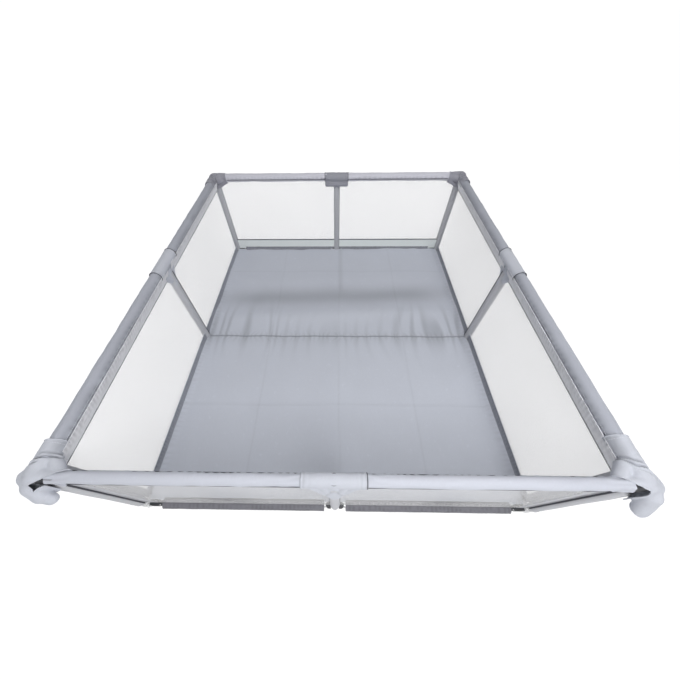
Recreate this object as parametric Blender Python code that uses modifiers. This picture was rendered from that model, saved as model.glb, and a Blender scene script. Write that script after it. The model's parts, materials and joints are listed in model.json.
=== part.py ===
"""Folding playpen: padded rails on eight legs, with mesh walls and a cloth floor.

Metres, +Z up. X runs across the front wall and Y runs back along the side walls, from the
middle of the floor. The front and back walls are each two halves on upright pins. Their
middle legs swing in between the side walls, so the pen closes to a flat stack.
"""
import bpy
import bmesh
from mathutils import Vector

# Overall sizes
WIDTH = 1.80
LENGTH = 2.00
HEIGHT = 0.65

# Tubes
TOP_TUBE_RADIUS = 0.0125
LOW_TUBE_RADIUS = 0.0095
POST_RADIUS = 0.0125
TUBE_WALL = 0.0015

# Padded sleeves, boots and covers
RAIL_RADIUS = 0.025
BOOT_WALL = 0.0054
BOOT_ALONG_SIDE = 0.13
BOOT_PAST_PIN = 0.010
BOOT_DROP = 0.12
BOOT_OVERLAP = 0.008
COVER_HALF_LENGTH = 0.095
COVER_DROP = 0.078
COVER_TAIL_WALL = 0.006

# Hinges: the room between two rails when folded, and how far each sleeve stops from its pin
FOLDED_ROOM = 0.006
SLEEVE_SETBACK = 0.020
TONGUE_WIDTH = 0.006
TONGUE_GRIP = 0.020
NECK_WIDTH = 0.008
TOP_HINGE = {"eye_half": 0.009, "eye": 0.0100, "lug": 0.0110, "lug_thick": 0.005, "pin": 0.0040}
LOW_HINGE = {"eye_half": 0.006, "eye": 0.0090, "lug": 0.0100, "lug_thick": 0.004, "pin": 0.0035}

# Joint blocks and feet
BLOCK_RADIUS = 0.017
BLOCK_BELOW = 0.024
BLOCK_ABOVE = 0.0165
SADDLE_RADIUS = 0.0165
SADDLE_BELOW = 0.040
SPIGOT_LENGTH = 0.030
FOOT_RADIUS = 0.018
FOOT_HEIGHT = 0.045
LOW_TUBE_CENTRE = 0.022

# Cloth
MESH_THICKNESS = 0.0016
FLOOR_THICKNESS = 0.003

# Clearances
GAP = 0.0003
LOOSE_GAP = 0.0006
SOCKET_GAP = 0.001
SIDES = 16

# Worked out from the sizes above
BOOT_INNER = RAIL_RADIUS + LOOSE_GAP
BOOT_OUTER = BOOT_INNER + BOOT_WALL
RAIL_X = WIDTH / 2 - BOOT_OUTER
RAIL_Y = LENGTH / 2 - BOOT_OUTER
RAIL_Z = HEIGHT - BOOT_OUTER
CORNER_PIN_OFFSET = 2 * RAIL_RADIUS + FOLDED_ROOM
CENTRE_PIN_OFFSET = max(
    RAIL_RADIUS + FOLDED_ROOM / 2,
    BLOCK_RADIUS + TOP_HINGE["eye"] + SOCKET_GAP,
    FOOT_RADIUS + LOW_HINGE["eye"] + SOCKET_GAP,
)
BOOT_ALONG_FRONT = CORNER_PIN_OFFSET + BOOT_PAST_PIN
TAIL_INNER = max(BLOCK_RADIUS, SADDLE_RADIUS) + LOOSE_GAP
TAIL_OUTER = TAIL_INNER + COVER_TAIL_WALL

COLOURS = {
    "padded_cloth": ((0.52, 0.54, 0.58, 1.0), 0.85, 0.0),
    "cover_cloth": ((0.44, 0.46, 0.50, 1.0), 0.85, 0.0),
    "floor_cloth": ((0.42, 0.44, 0.48, 1.0), 0.80, 0.0),
    "mesh_cloth": ((0.88, 0.88, 0.88, 1.0), 0.90, 0.0),
    "painted_tube": ((0.62, 0.63, 0.65, 1.0), 0.40, 0.8),
    "joint_plastic": ((0.10, 0.10, 0.11, 1.0), 0.50, 0.0),
    "foot_plastic": ((0.80, 0.80, 0.80, 1.0), 0.45, 0.0),
}


def clear_scene():
    """Remove every object, so that the model starts from nothing."""
    for old in list(bpy.data.objects):
        bpy.data.objects.remove(old, do_unlink=True)


def new_collection(name):
    """Make a collection in the scene."""
    group = bpy.data.collections.new(name)
    bpy.context.scene.collection.children.link(group)
    return group


clear_scene()
PARTS = new_collection("playpen")
CUTTERS = new_collection("cutters")


def finish_material(node, finish):
    """Give a node its own Principled material."""
    colour, roughness, metallic = COLOURS[finish]
    material = bpy.data.materials.new(node.name + "_" + finish)
    material.use_nodes = True
    shader = material.node_tree.nodes["Principled BSDF"]
    shader.inputs["Base Color"].default_value = colour
    shader.inputs["Roughness"].default_value = roughness
    shader.inputs["Metallic"].default_value = metallic
    node.data.materials.append(material)


def body_empty(name, pivot):
    """Make the empty that a moving group hangs from, on its pin's axis."""
    empty = bpy.data.objects.new(name + "_pivot", None)
    empty.location = pivot
    empty.empty_display_size = 0.05
    PARTS.objects.link(empty)
    return empty


def keep_as_node(node, finish, body):
    """Turn a shape into a named sub-part of its body."""
    for group in list(node.users_collection):
        group.objects.unlink(node)
    PARTS.objects.link(node)
    node.hide_render = False
    node.hide_viewport = False
    node.display_type = "TEXTURED"
    finish_material(node, finish)
    if body is not None:
        node.parent = body
        node.matrix_parent_inverse.translation = -body.location
    return node


def shape(name, mesh, centre):
    """Make an object for a helper shape, kept with the cutters until it is used."""
    piece = bpy.data.objects.new(name, mesh)
    piece.location = centre
    piece.hide_render = True
    piece.display_type = "WIRE"
    CUTTERS.objects.link(piece)
    return piece


def cylinder(name, start, end, radius, open_ends=False):
    """Make a straight cylinder between two points."""
    start = Vector(start)
    end = Vector(end)
    work = bmesh.new()
    bmesh.ops.create_cone(
        work,
        cap_ends=not open_ends,
        segments=SIDES,
        radius1=radius,
        radius2=radius,
        depth=(end - start).length,
    )
    mesh = bpy.data.meshes.new(name)
    work.to_mesh(mesh)
    work.free()
    piece = shape(name, mesh, (start + end) / 2)
    piece.rotation_mode = "QUATERNION"
    piece.rotation_quaternion = (end - start).to_track_quat("Z", "Y")
    return piece


def box(name, low, high):
    """Make a box from its lowest and highest corners."""
    low = Vector(low)
    high = Vector(high)
    work = bmesh.new()
    bmesh.ops.create_cube(work, size=1.0)
    bmesh.ops.scale(work, vec=high - low, verts=work.verts)
    mesh = bpy.data.meshes.new(name)
    work.to_mesh(mesh)
    work.free()
    return shape(name, mesh, (low + high) / 2)


def tube(name, start, end, radius, wall):
    """Make a hollow tube with open ends."""
    piece = cylinder(name, start, end, radius, open_ends=True)
    solid = piece.modifiers.new("wall", "SOLIDIFY")
    solid.thickness = wall
    solid.offset = -1.0
    return piece


def combine(base, operation, others):
    """Add shapes to a base, or cut them from it."""
    for other in others:
        step = base.modifiers.new(other.name, "BOOLEAN")
        step.operation = operation
        step.solver = "EXACT"
        step.object = other
    return base


def sorted_box(name, first, second):
    """Make a box from any two opposite corners."""
    low = [min(a, b) for a, b in zip(first, second)]
    high = [max(a, b) for a, b in zip(first, second)]
    return box(name, low, high)


def rounded_plate(name, x_from, x_to, y, low, high, radius):
    """Make a flat plate along X with a half-round at each end, centred on x_from and x_to."""
    middle = (x_from + x_to) / 2
    half = abs(x_to - x_from) / 2
    plate = cylinder(name, (middle, y, low), (middle, y, high), radius)
    for corner in plate.data.vertices:
        corner.co.x += half if corner.co.x > 0.0 else -half
    return plate


def clevis(name, x_from, x_to, y, z, pins, hinge):
    """Make two plates above each other along X, with an upright pin at each place in pins."""
    inner = hinge["eye_half"] + GAP
    outer = inner + hinge["lug_thick"]
    pieces = [
        rounded_plate(f"{name}_upper", x_from, x_to, y, z + inner, z + outer, hinge["lug"]),
        rounded_plate(f"{name}_lower", x_from, x_to, y, z - outer, z - inner, hinge["lug"]),
    ]
    pin_end = inner + hinge["lug_thick"] / 2
    for x in pins:
        pieces.append(
            cylinder(f"{name}_pin", (x, y, z - pin_end), (x, y, z + pin_end), hinge["pin"])
        )
    return pieces


def hinged_tube(name, pin_a, pin_b, radius, hinge, body):
    """Make a tube with a flat eye at each end, for the pins of two hinges along X."""
    y = pin_a[1]
    z = pin_a[2]
    tongue_start = hinge["lug"] + LOOSE_GAP
    tube_start = tongue_start + SOCKET_GAP
    start = (pin_a[0] + tube_start, y, z)
    end = (pin_b[0] - tube_start, y, z)
    rail = tube(name, start, end, radius, TUBE_WALL)
    half_height = radius - TUBE_WALL / 2
    neck_half = hinge["eye_half"] - SOCKET_GAP
    adds = []
    holes = []
    for pin, way, label in ((pin_a, 1, "a"), (pin_b, -1, "b")):
        tongue = sorted_box(
            f"{name}_tongue_{label}",
            (pin[0] + way * tongue_start, y - TONGUE_WIDTH / 2, z - half_height),
            (pin[0] + way * (tube_start + TONGUE_GRIP), y + TONGUE_WIDTH / 2, z + half_height),
        )
        neck = sorted_box(
            f"{name}_neck_{label}",
            (pin[0], y - NECK_WIDTH / 2, z - neck_half),
            (pin[0] + way * (tongue_start + SOCKET_GAP), y + NECK_WIDTH / 2, z + neck_half),
        )
        eye = cylinder(
            f"{name}_eye_{label}",
            (pin[0], y, z - hinge["eye_half"]),
            (pin[0], y, z + hinge["eye_half"]),
            hinge["eye"],
        )
        hole = cylinder(
            f"{name}_hole_{label}",
            (pin[0], y, z - hinge["eye_half"] - GAP),
            (pin[0], y, z + hinge["eye_half"] + GAP),
            hinge["pin"] + GAP,
        )
        adds += [tongue, neck, eye]
        holes.append(hole)
    combine(rail, "UNION", adds)
    combine(rail, "DIFFERENCE", holes)
    return keep_as_node(rail, "painted_tube", body)


def top_block(name, x, y, plate_ends, pins, body, side_way=0):
    """Make the block on top of a post, with a clevis for its pins and a spigot for a side tube."""
    block = cylinder(
        name, (x, y, RAIL_Z - BLOCK_BELOW), (x, y, RAIL_Z + BLOCK_ABOVE), BLOCK_RADIUS
    )
    spigot = POST_RADIUS - TUBE_WALL - GAP
    adds = [
        cylinder(
            f"{name}_post_spigot",
            (x, y, RAIL_Z - BLOCK_BELOW - SPIGOT_LENGTH),
            (x, y, RAIL_Z - BLOCK_BELOW / 2),
            spigot,
        )
    ]
    adds += clevis(f"{name}_clevis", *plate_ends, y, RAIL_Z, pins, TOP_HINGE)
    if side_way:
        reach_y = y + side_way * (BLOCK_RADIUS + SPIGOT_LENGTH)
        side_spigot = TOP_TUBE_RADIUS - TUBE_WALL - GAP
        adds.append(cylinder(f"{name}_rail_spigot", (x, y, RAIL_Z), (x, reach_y, RAIL_Z), side_spigot))
    combine(block, "UNION", adds)
    return keep_as_node(block, "joint_plastic", body)


def foot(name, x, y, plate_ends, pins, body, side_way=0, passes_tube=False):
    """Make the foot of a post, with a clevis, a spigot or a hole for the low tubes."""
    block = cylinder(name, (x, y, 0.0), (x, y, FOOT_HEIGHT), FOOT_RADIUS)
    spigot = POST_RADIUS - TUBE_WALL - GAP
    adds = [
        cylinder(
            f"{name}_post_spigot",
            (x, y, LOW_TUBE_CENTRE + LOW_TUBE_RADIUS + TUBE_WALL),
            (x, y, FOOT_HEIGHT + SPIGOT_LENGTH),
            spigot,
        )
    ]
    if pins:
        adds += clevis(f"{name}_clevis", *plate_ends, y, LOW_TUBE_CENTRE, pins, LOW_HINGE)
    if side_way:
        reach_y = y + side_way * (FOOT_RADIUS + SPIGOT_LENGTH)
        low_spigot = LOW_TUBE_RADIUS - TUBE_WALL - GAP
        start = (x, y, LOW_TUBE_CENTRE)
        adds.append(cylinder(f"{name}_tube_spigot", start, (x, reach_y, LOW_TUBE_CENTRE), low_spigot))
    combine(block, "UNION", adds)
    if passes_tube:
        passage = cylinder(
            f"{name}_passage",
            (x, y - FOOT_RADIUS - SOCKET_GAP, LOW_TUBE_CENTRE),
            (x, y + FOOT_RADIUS + SOCKET_GAP, LOW_TUBE_CENTRE),
            LOW_TUBE_RADIUS + GAP,
        )
        combine(block, "DIFFERENCE", [passage])
    return keep_as_node(block, "foot_plastic", body)


def post(name, x, y, top, body):
    """Make the upright tube between a foot and the block above it."""
    upright = tube(name, (x, y, FOOT_HEIGHT + GAP), (x, y, top - GAP), POST_RADIUS, TUBE_WALL)
    return keep_as_node(upright, "painted_tube", body)


def mesh_panel(name, first, second, body):
    """Make a flat mesh wall between two upright edges on the rails' centre plane."""
    half = MESH_THICKNESS / 2
    low = LOW_TUBE_CENTRE + LOW_TUBE_RADIUS + GAP
    high = RAIL_Z - RAIL_RADIUS - GAP
    along_x = abs(second[0] - first[0]) > abs(second[1] - first[1])
    pad = (0.0, half) if along_x else (half, 0.0)
    panel = sorted_box(
        name, (first[0] - pad[0], first[1] - pad[1], low), (second[0] + pad[0], second[1] + pad[1], high)
    )
    return keep_as_node(panel, "mesh_cloth", body)


def boot(name, x, y, way_x, way_y, body):
    """Make the cloth boot over a corner, open along both rails and down the post."""
    end_y = y + way_y * BOOT_ALONG_SIDE
    end_x = x + way_x * BOOT_ALONG_FRONT
    low_z = RAIL_Z - BOOT_DROP
    reach = BOOT_OUTER
    overlap = BOOT_OVERLAP
    outer = cylinder(name, (x, y - way_y * BOOT_OUTER, RAIL_Z), (x, end_y, RAIL_Z), BOOT_OUTER)
    adds = [
        cylinder(f"{name}_front_arm", (x - way_x * overlap, y, RAIL_Z), (end_x, y, RAIL_Z), BOOT_OUTER),
        cylinder(f"{name}_leg", (x, y, low_z), (x, y, RAIL_Z + overlap), BOOT_OUTER),
    ]
    cuts = [
        cylinder(
            f"{name}_side_bore",
            (x, y - way_y * BOOT_INNER, RAIL_Z),
            (x, end_y + way_y * reach, RAIL_Z),
            BOOT_INNER,
        ),
        cylinder(
            f"{name}_front_bore",
            (x - way_x * overlap / 2, y, RAIL_Z),
            (end_x + way_x * reach, y, RAIL_Z),
            BOOT_INNER,
        ),
        cylinder(f"{name}_leg_bore", (x, y, low_z - reach), (x, y, RAIL_Z + overlap / 2), BOOT_INNER),
    ]
    half_slot = MESH_THICKNESS / 2 + GAP
    slot = sorted_box(
        f"{name}_mesh_slot",
        (x - half_slot, y + way_y * POST_RADIUS, low_z - reach),
        (x + half_slot, end_y + way_y * reach, RAIL_Z - RAIL_RADIUS / 2),
    )
    combine(outer, "UNION", adds)
    combine(outer, "DIFFERENCE", cuts + [slot])
    return keep_as_node(outer, "cover_cloth", body)


def centre_cover(name, x, y, along, body):
    """Make the T-shaped cloth cover over a centre joint. along is the rail's direction."""
    along = Vector(along)
    middle = Vector((x, y, RAIL_Z))
    outer = cylinder(
        name, middle - along * COVER_HALF_LENGTH, middle + along * COVER_HALF_LENGTH, BOOT_OUTER
    )
    tail_low = (x, y, RAIL_Z - COVER_DROP)
    tail = cylinder(f"{name}_tail", tail_low, middle, TAIL_OUTER)
    past = along * (COVER_HALF_LENGTH + SOCKET_GAP)
    bore = cylinder(f"{name}_bore", middle - past, middle + past, BOOT_INNER)
    tail_bore_low = (x, y, RAIL_Z - COVER_DROP - SOCKET_GAP)
    tail_bore = cylinder(f"{name}_tail_bore", tail_bore_low, middle, TAIL_INNER)
    across = Vector((along.y, along.x, 0.0)) * (MESH_THICKNESS / 2 + GAP)
    slot = sorted_box(
        f"{name}_mesh_slot",
        Vector(tail_bore_low) - past - across,
        Vector((x, y, RAIL_Z - RAIL_RADIUS / 2)) + past + across,
    )
    combine(outer, "UNION", [tail])
    combine(outer, "DIFFERENCE", [bore, tail_bore, slot])
    return keep_as_node(outer, "cover_cloth", body)


def rail_saddle(name, x, y, body):
    """Make the saddle that carries a side rail on its centre post."""
    saddle = cylinder(name, (x, y, RAIL_Z - SADDLE_BELOW), (x, y, RAIL_Z), SADDLE_RADIUS)
    seat = cylinder(
        f"{name}_seat",
        (x, y - BLOCK_RADIUS - SOCKET_GAP, RAIL_Z),
        (x, y + BLOCK_RADIUS + SOCKET_GAP, RAIL_Z),
        TOP_TUBE_RADIUS + GAP,
    )
    spigot = cylinder(
        f"{name}_spigot",
        (x, y, RAIL_Z - SADDLE_BELOW - SPIGOT_LENGTH),
        (x, y, RAIL_Z - SADDLE_BELOW / 2),
        POST_RADIUS - TUBE_WALL - GAP,
    )
    combine(saddle, "UNION", [spigot])
    combine(saddle, "DIFFERENCE", [seat])
    return keep_as_node(saddle, "joint_plastic", body)


def side_wall(side, x, way_x, body):
    """Make a side wall, which stays straight when the pen folds."""
    rail_end = RAIL_Y - BLOCK_RADIUS - GAP
    low_end = RAIL_Y - FOOT_RADIUS - GAP
    top = tube(f"{side}_top_tube", (x, -rail_end, RAIL_Z), (x, rail_end, RAIL_Z), TOP_TUBE_RADIUS, TUBE_WALL)
    keep_as_node(top, "painted_tube", body)

    sleeve_wall = RAIL_RADIUS - TOP_TUBE_RADIUS - GAP
    sleeve_end = RAIL_Y - BLOCK_RADIUS - LOOSE_GAP
    sleeve = tube(
        f"{side}_rail_sleeve", (x, -sleeve_end, RAIL_Z), (x, sleeve_end, RAIL_Z), RAIL_RADIUS, sleeve_wall
    )
    saddle_hole = cylinder(
        f"{side}_saddle_hole",
        (x, 0.0, RAIL_Z - SADDLE_BELOW),
        (x, 0.0, RAIL_Z + GAP),
        SADDLE_RADIUS + GAP,
    )
    combine(sleeve, "DIFFERENCE", [saddle_hole])
    keep_as_node(sleeve, "padded_cloth", body)

    low = tube(
        f"{side}_bottom_tube",
        (x, -low_end, LOW_TUBE_CENTRE),
        (x, low_end, LOW_TUBE_CENTRE),
        LOW_TUBE_RADIUS,
        TUBE_WALL,
    )
    keep_as_node(low, "painted_tube", body)

    post_edge = FOOT_RADIUS + GAP
    for end, y in (("front", -RAIL_Y), ("back", RAIL_Y)):
        way_y = 1 if y < 0 else -1
        pin = x + way_x * CORNER_PIN_OFFSET
        top_block(f"{side}_{end}_corner_joint", x, y, (x, pin), [pin], body, side_way=way_y)
        foot(f"{side}_{end}_foot", x, y, (x, pin), [pin], body, side_way=way_y)
        post(f"{side}_{end}_post", x, y, RAIL_Z - BLOCK_BELOW, body)
        first = (x, y + way_y * post_edge)
        second = (x, -way_y * post_edge)
        mesh_panel(f"{side}_{end}_mesh", first, second, body)
        boot(f"{side}_{end}_boot", x, y, way_x, way_y, body)

    rail_saddle(f"{side}_centre_saddle", x, 0.0, body)
    foot(f"{side}_centre_foot", x, 0.0, (x, x), [], body, passes_tube=True)
    post(f"{side}_centre_post", x, 0.0, RAIL_Z - SADDLE_BELOW, body)
    centre_cover(f"{side}_centre_cover", x, 0.0, (0.0, 1.0, 0.0), body)


def half_wall(name, y, pin_a, pin_b, body):
    """Make half of the front or back wall, between two upright pins along X."""
    hinged_tube(
        f"{name}_top_tube", (pin_a, y, RAIL_Z), (pin_b, y, RAIL_Z), TOP_TUBE_RADIUS, TOP_HINGE, body
    )
    hinged_tube(
        f"{name}_bottom_tube",
        (pin_a, y, LOW_TUBE_CENTRE),
        (pin_b, y, LOW_TUBE_CENTRE),
        LOW_TUBE_RADIUS,
        LOW_HINGE,
        body,
    )
    start = pin_a + SLEEVE_SETBACK
    end = pin_b - SLEEVE_SETBACK
    wall = RAIL_RADIUS - TOP_TUBE_RADIUS - GAP
    sleeve = tube(f"{name}_rail_sleeve", (start, y, RAIL_Z), (end, y, RAIL_Z), RAIL_RADIUS, wall)
    keep_as_node(sleeve, "padded_cloth", body)
    mesh_panel(f"{name}_mesh", (start, y), (end, y), body)


def centre_leg(name, y, body):
    """Make the middle leg of the front or back wall, with a pin on each side."""
    pins = [-CENTRE_PIN_OFFSET, CENTRE_PIN_OFFSET]
    top_block(f"{name}_joint", 0.0, y, pins, pins, body)
    foot(f"{name}_foot", 0.0, y, pins, pins, body)
    post(f"{name}_post", 0.0, y, RAIL_Z - BLOCK_BELOW, body)
    centre_cover(f"{name}_cover", 0.0, y, (1.0, 0.0, 0.0), body)


def floor_sheet(body):
    """Make the cloth floor, notched around the feet."""
    inset = LOW_HINGE["lug"] + GAP
    half = FLOOR_THICKNESS / 2
    sheet = box(
        "floor_sheet",
        (-RAIL_X + inset, -RAIL_Y + inset, LOW_TUBE_CENTRE - half),
        (RAIL_X - inset, RAIL_Y - inset, LOW_TUBE_CENTRE + half),
    )
    notches = []
    for x in (-RAIL_X, 0.0, RAIL_X):
        for y in (-RAIL_Y, 0.0, RAIL_Y):
            if x == 0.0 and y == 0.0:
                continue
            notches.append(
                cylinder(
                    f"floor_notch_{len(notches)}", (x, y, 0.0), (x, y, FOOT_HEIGHT), FOOT_RADIUS + LOOSE_GAP
                )
            )
    combine(sheet, "DIFFERENCE", notches)
    keep_as_node(sheet, "floor_cloth", body)


def build():
    """Build the playpen from its front middle leg outwards, with an empty on each moving group's pin."""
    left_pin = -RAIL_X + CORNER_PIN_OFFSET
    right_pin = RAIL_X - CORNER_PIN_OFFSET
    centre_leg("front_centre", -RAIL_Y, None)
    front_left = body_empty("front_left_half", (-CENTRE_PIN_OFFSET, -RAIL_Y, 0.0))
    half_wall("front_left", -RAIL_Y, left_pin, -CENTRE_PIN_OFFSET, front_left)
    front_right = body_empty("front_right_half", (CENTRE_PIN_OFFSET, -RAIL_Y, 0.0))
    half_wall("front_right", -RAIL_Y, CENTRE_PIN_OFFSET, right_pin, front_right)

    left_body = body_empty("left_wall", (left_pin, -RAIL_Y, 0.0))
    side_wall("left", -RAIL_X, 1, left_body)
    floor_sheet(left_body)
    right_body = body_empty("right_wall", (right_pin, -RAIL_Y, 0.0))
    side_wall("right", RAIL_X, -1, right_body)

    back_left = body_empty("back_left_half", (left_pin, RAIL_Y, 0.0))
    half_wall("back_left", RAIL_Y, left_pin, -CENTRE_PIN_OFFSET, back_left)
    back_middle = body_empty("back_centre", (-CENTRE_PIN_OFFSET, RAIL_Y, 0.0))
    centre_leg("back_centre", RAIL_Y, back_middle)
    back_right = body_empty("back_right_half", (right_pin, RAIL_Y, 0.0))
    half_wall("back_right", RAIL_Y, CENTRE_PIN_OFFSET, right_pin, back_right)


build()
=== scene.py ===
"""Looks of a folding playpen: padded rails, mesh walls, cloth boots and a cloth floor around its frame."""

import json
import logging
import math
from dataclasses import dataclass, field
from enum import Enum

import bmesh
import bpy
import numpy as np
from mathutils import Euler, Matrix, Vector


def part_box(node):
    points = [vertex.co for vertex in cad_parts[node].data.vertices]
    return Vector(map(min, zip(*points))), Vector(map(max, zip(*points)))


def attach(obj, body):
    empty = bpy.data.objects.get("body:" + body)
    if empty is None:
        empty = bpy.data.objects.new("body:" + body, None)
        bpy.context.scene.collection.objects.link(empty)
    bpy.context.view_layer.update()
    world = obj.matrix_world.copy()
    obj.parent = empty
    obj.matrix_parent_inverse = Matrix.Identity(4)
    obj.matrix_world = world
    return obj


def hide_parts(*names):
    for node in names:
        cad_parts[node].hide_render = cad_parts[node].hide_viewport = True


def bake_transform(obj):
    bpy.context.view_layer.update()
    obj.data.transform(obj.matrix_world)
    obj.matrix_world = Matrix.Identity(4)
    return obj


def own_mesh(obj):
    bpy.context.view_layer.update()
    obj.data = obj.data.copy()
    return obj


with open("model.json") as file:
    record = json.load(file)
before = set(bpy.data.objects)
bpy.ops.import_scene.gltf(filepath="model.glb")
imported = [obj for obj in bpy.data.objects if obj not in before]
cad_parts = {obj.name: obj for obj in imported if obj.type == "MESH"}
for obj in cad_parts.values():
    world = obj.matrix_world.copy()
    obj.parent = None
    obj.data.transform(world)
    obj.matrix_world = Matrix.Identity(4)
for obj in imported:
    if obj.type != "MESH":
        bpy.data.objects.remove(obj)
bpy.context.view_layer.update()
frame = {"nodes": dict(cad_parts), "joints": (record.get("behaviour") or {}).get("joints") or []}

LOG = logging.getLogger("playpen")
UP = np.array([0.0, 0.0, 1.0])
FOOT_RADIUS = 0.018
LUG_REACH = 0.0103
FULL_TURN = 2.0 * math.pi
SHARP_EDGE = math.radians(55.0)
SHARP_SEWN_EDGE = math.radians(60.0)
WHITE = (1.0, 1.0, 1.0, 1.0)
BLACK = (0.0, 0.0, 0.0, 1.0)
Array = np.ndarray
Colour = tuple[float, float, float]


# ---------------------------------------------------------------- numbers and noise


def lattice(i: Array, j: Array, k: Array, seed: int) -> Array:
    """Give each lattice point a fixed value from -1 to 1."""
    n = (i * 374761393 + j * 668265263 + k * 1274126177 + seed * 362437) & 0x7FFFFFFF
    n = ((n ^ (n >> 13)) * 1103515245) & 0x7FFFFFFF
    n = ((n ^ (n >> 11)) * 668265263) & 0x7FFFFFFF
    return (n ^ (n >> 15)) / float(0x3FFFFFFF) - 1.0


def cloud(points: Array, size: float, seed: int) -> Array:
    """Give each point a soft random value.

    Args:
        points: Points, the last axis holding x, y and z.
        size: Size of one soft patch, in metres.
        seed: Which pattern to use.

    Returns:
        A value from -1 to 1 for each point.
    """
    scaled = np.asarray(points, float) / size
    cell = np.floor(scaled).astype(np.int64)
    part = scaled - cell
    part = part * part * (3.0 - 2.0 * part)
    total = np.zeros(scaled.shape[:-1])
    for corner in range(8):
        step = [(corner >> axis) & 1 for axis in range(3)]
        weight = np.ones(scaled.shape[:-1])
        for axis in range(3):
            weight = weight * (part[..., axis] if step[axis] else 1.0 - part[..., axis])
        total += weight * lattice(*(cell[..., axis] + step[axis] for axis in range(3)), seed)
    return total


def bell(distance: Array, width: float) -> Array:
    """Give 1 at no distance, falling smoothly to 0 past the width."""
    return np.exp(-((distance / width) ** 2))


def ease(value: Array, low: float, high: float) -> Array:
    """Give 0 below low, 1 above high, and a smooth step between."""
    part = np.clip((value - low) / (high - low), 0.0, 1.0)
    return part * part * (3.0 - 2.0 * part)


def spaced(start: float, end: float, pitch: float) -> Array:
    """Give even steps from start to end, about one pitch apart."""
    return np.linspace(start, end, max(2, int(round(abs(end - start) / pitch)) + 1))


# ---------------------------------------------------------------- meshes


def run_lengths(path: Array) -> Array:
    """Give the length of a path up to each of its points."""
    return np.cumsum(np.linalg.norm(np.diff(path, axis=0, prepend=path[:1]), axis=-1))


def straight_path(start: Array, end: Array, pitch: float) -> Array:
    """Give a straight path with even steps."""
    return even_path(np.stack([start, end]), pitch, False)


def as_object(name: str, mesh: bpy.types.Mesh) -> bpy.types.Object:
    """Put a mesh in the scene as a piece."""
    piece = bpy.data.objects.new(name, mesh)
    bpy.context.scene.collection.objects.link(piece)
    return piece


def face_outwards(mesh: bpy.types.Mesh) -> None:
    """Turn a closed mesh's faces round if they point in."""
    mesh.calc_loop_triangles()
    points = np.zeros(len(mesh.vertices) * 3)
    mesh.vertices.foreach_get("co", points)
    points = points.reshape(-1, 3)
    corners = np.zeros(len(mesh.loop_triangles) * 3, np.int32)
    mesh.loop_triangles.foreach_get("vertices", corners)
    a, b, c = (points[corners.reshape(-1, 3)[:, n]] for n in range(3))
    if float((a * np.cross(b, c)).sum()) < 0.0:
        mesh.flip_normals()


def mesh_piece(
    name: str, points: Array, faces: list, uvs: Array, painted_shade: Array | None = None
) -> bpy.types.Object:
    """Make a smooth closed piece.

    Args:
        name: The piece's name.
        points: Its points, in metres.
        faces: The points of each face.
        uvs: A place on the cloth, in metres, for each corner of each face.
        painted_shade: How much painted shade each point gets, for its folds and shaded sides, from 0 to 1.

    Returns:
        The new object, at the origin.
    """
    mesh = bpy.data.meshes.new(name)
    mesh.from_pydata(points.tolist(), [], faces)
    layer = mesh.uv_layers.new(name="cloth")
    layer.data.foreach_set("uv", np.asarray(uvs, np.float32).ravel())
    store_painted_shade(mesh, np.zeros(len(points)) if painted_shade is None else painted_shade)
    face_outwards(mesh)
    mesh.shade_smooth()
    mesh.set_sharp_from_angle(angle=SHARP_EDGE)
    return as_object(name, mesh)


def store_painted_shade(mesh: bpy.types.Mesh, painted_shade: Array) -> None:
    """Keep the painted shade on the mesh: how much each point is darkened for its folds and shaded sides."""
    attribute = mesh.attributes.get("painted_shade") or mesh.attributes.new("painted_shade", "FLOAT", "POINT")
    attribute.data.foreach_set("value", np.clip(painted_shade, 0.0, 1.0).astype(np.float32).ravel())


def grid_corners(rows: Array, cols: Array, row_count: int, col_count: int, uvs: Array) -> tuple[Array, Array]:
    """Join a grid's points into four-sided faces.

    Args:
        rows: The first row of each face.
        cols: The first column of each face.
        row_count: Rows of points.
        col_count: Columns of points.
        uvs: A place on the cloth for each grid point, with one more row or column where the grid closes.

    Returns:
        The faces, and the places on the cloth of their corners.
    """
    r, c = np.meshgrid(rows, cols, indexing="ij")
    steps = ((r, c), (r + 1, c), (r + 1, c + 1), (r, c + 1))
    faces = np.stack([(a % row_count) * col_count + b % col_count for a, b in steps], -1)
    places = np.stack([uvs[a, b] for a, b in steps], -2)
    return faces.reshape(-1, 4), places.reshape(-1, 2)


def ring_piece(name: str, outer: Array, inner: Array, uvs: Array, painted_shade: Array) -> bpy.types.Object:
    """Make a sleeve with a wall: rings of outer points, and rings of inner points back to the start."""
    points = np.concatenate([outer, inner[::-1]], 0)
    rows, cols = points.shape[:2]
    around = np.concatenate([uvs, uvs[::-1], uvs[:1]], 0)
    faces, places = grid_corners(np.arange(rows), np.arange(cols), rows, cols, around)
    folds = np.concatenate([painted_shade, painted_shade[::-1] * 0.0], 0)
    return mesh_piece(name, points.reshape(-1, 3), faces.tolist(), places, folds.ravel())


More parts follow.
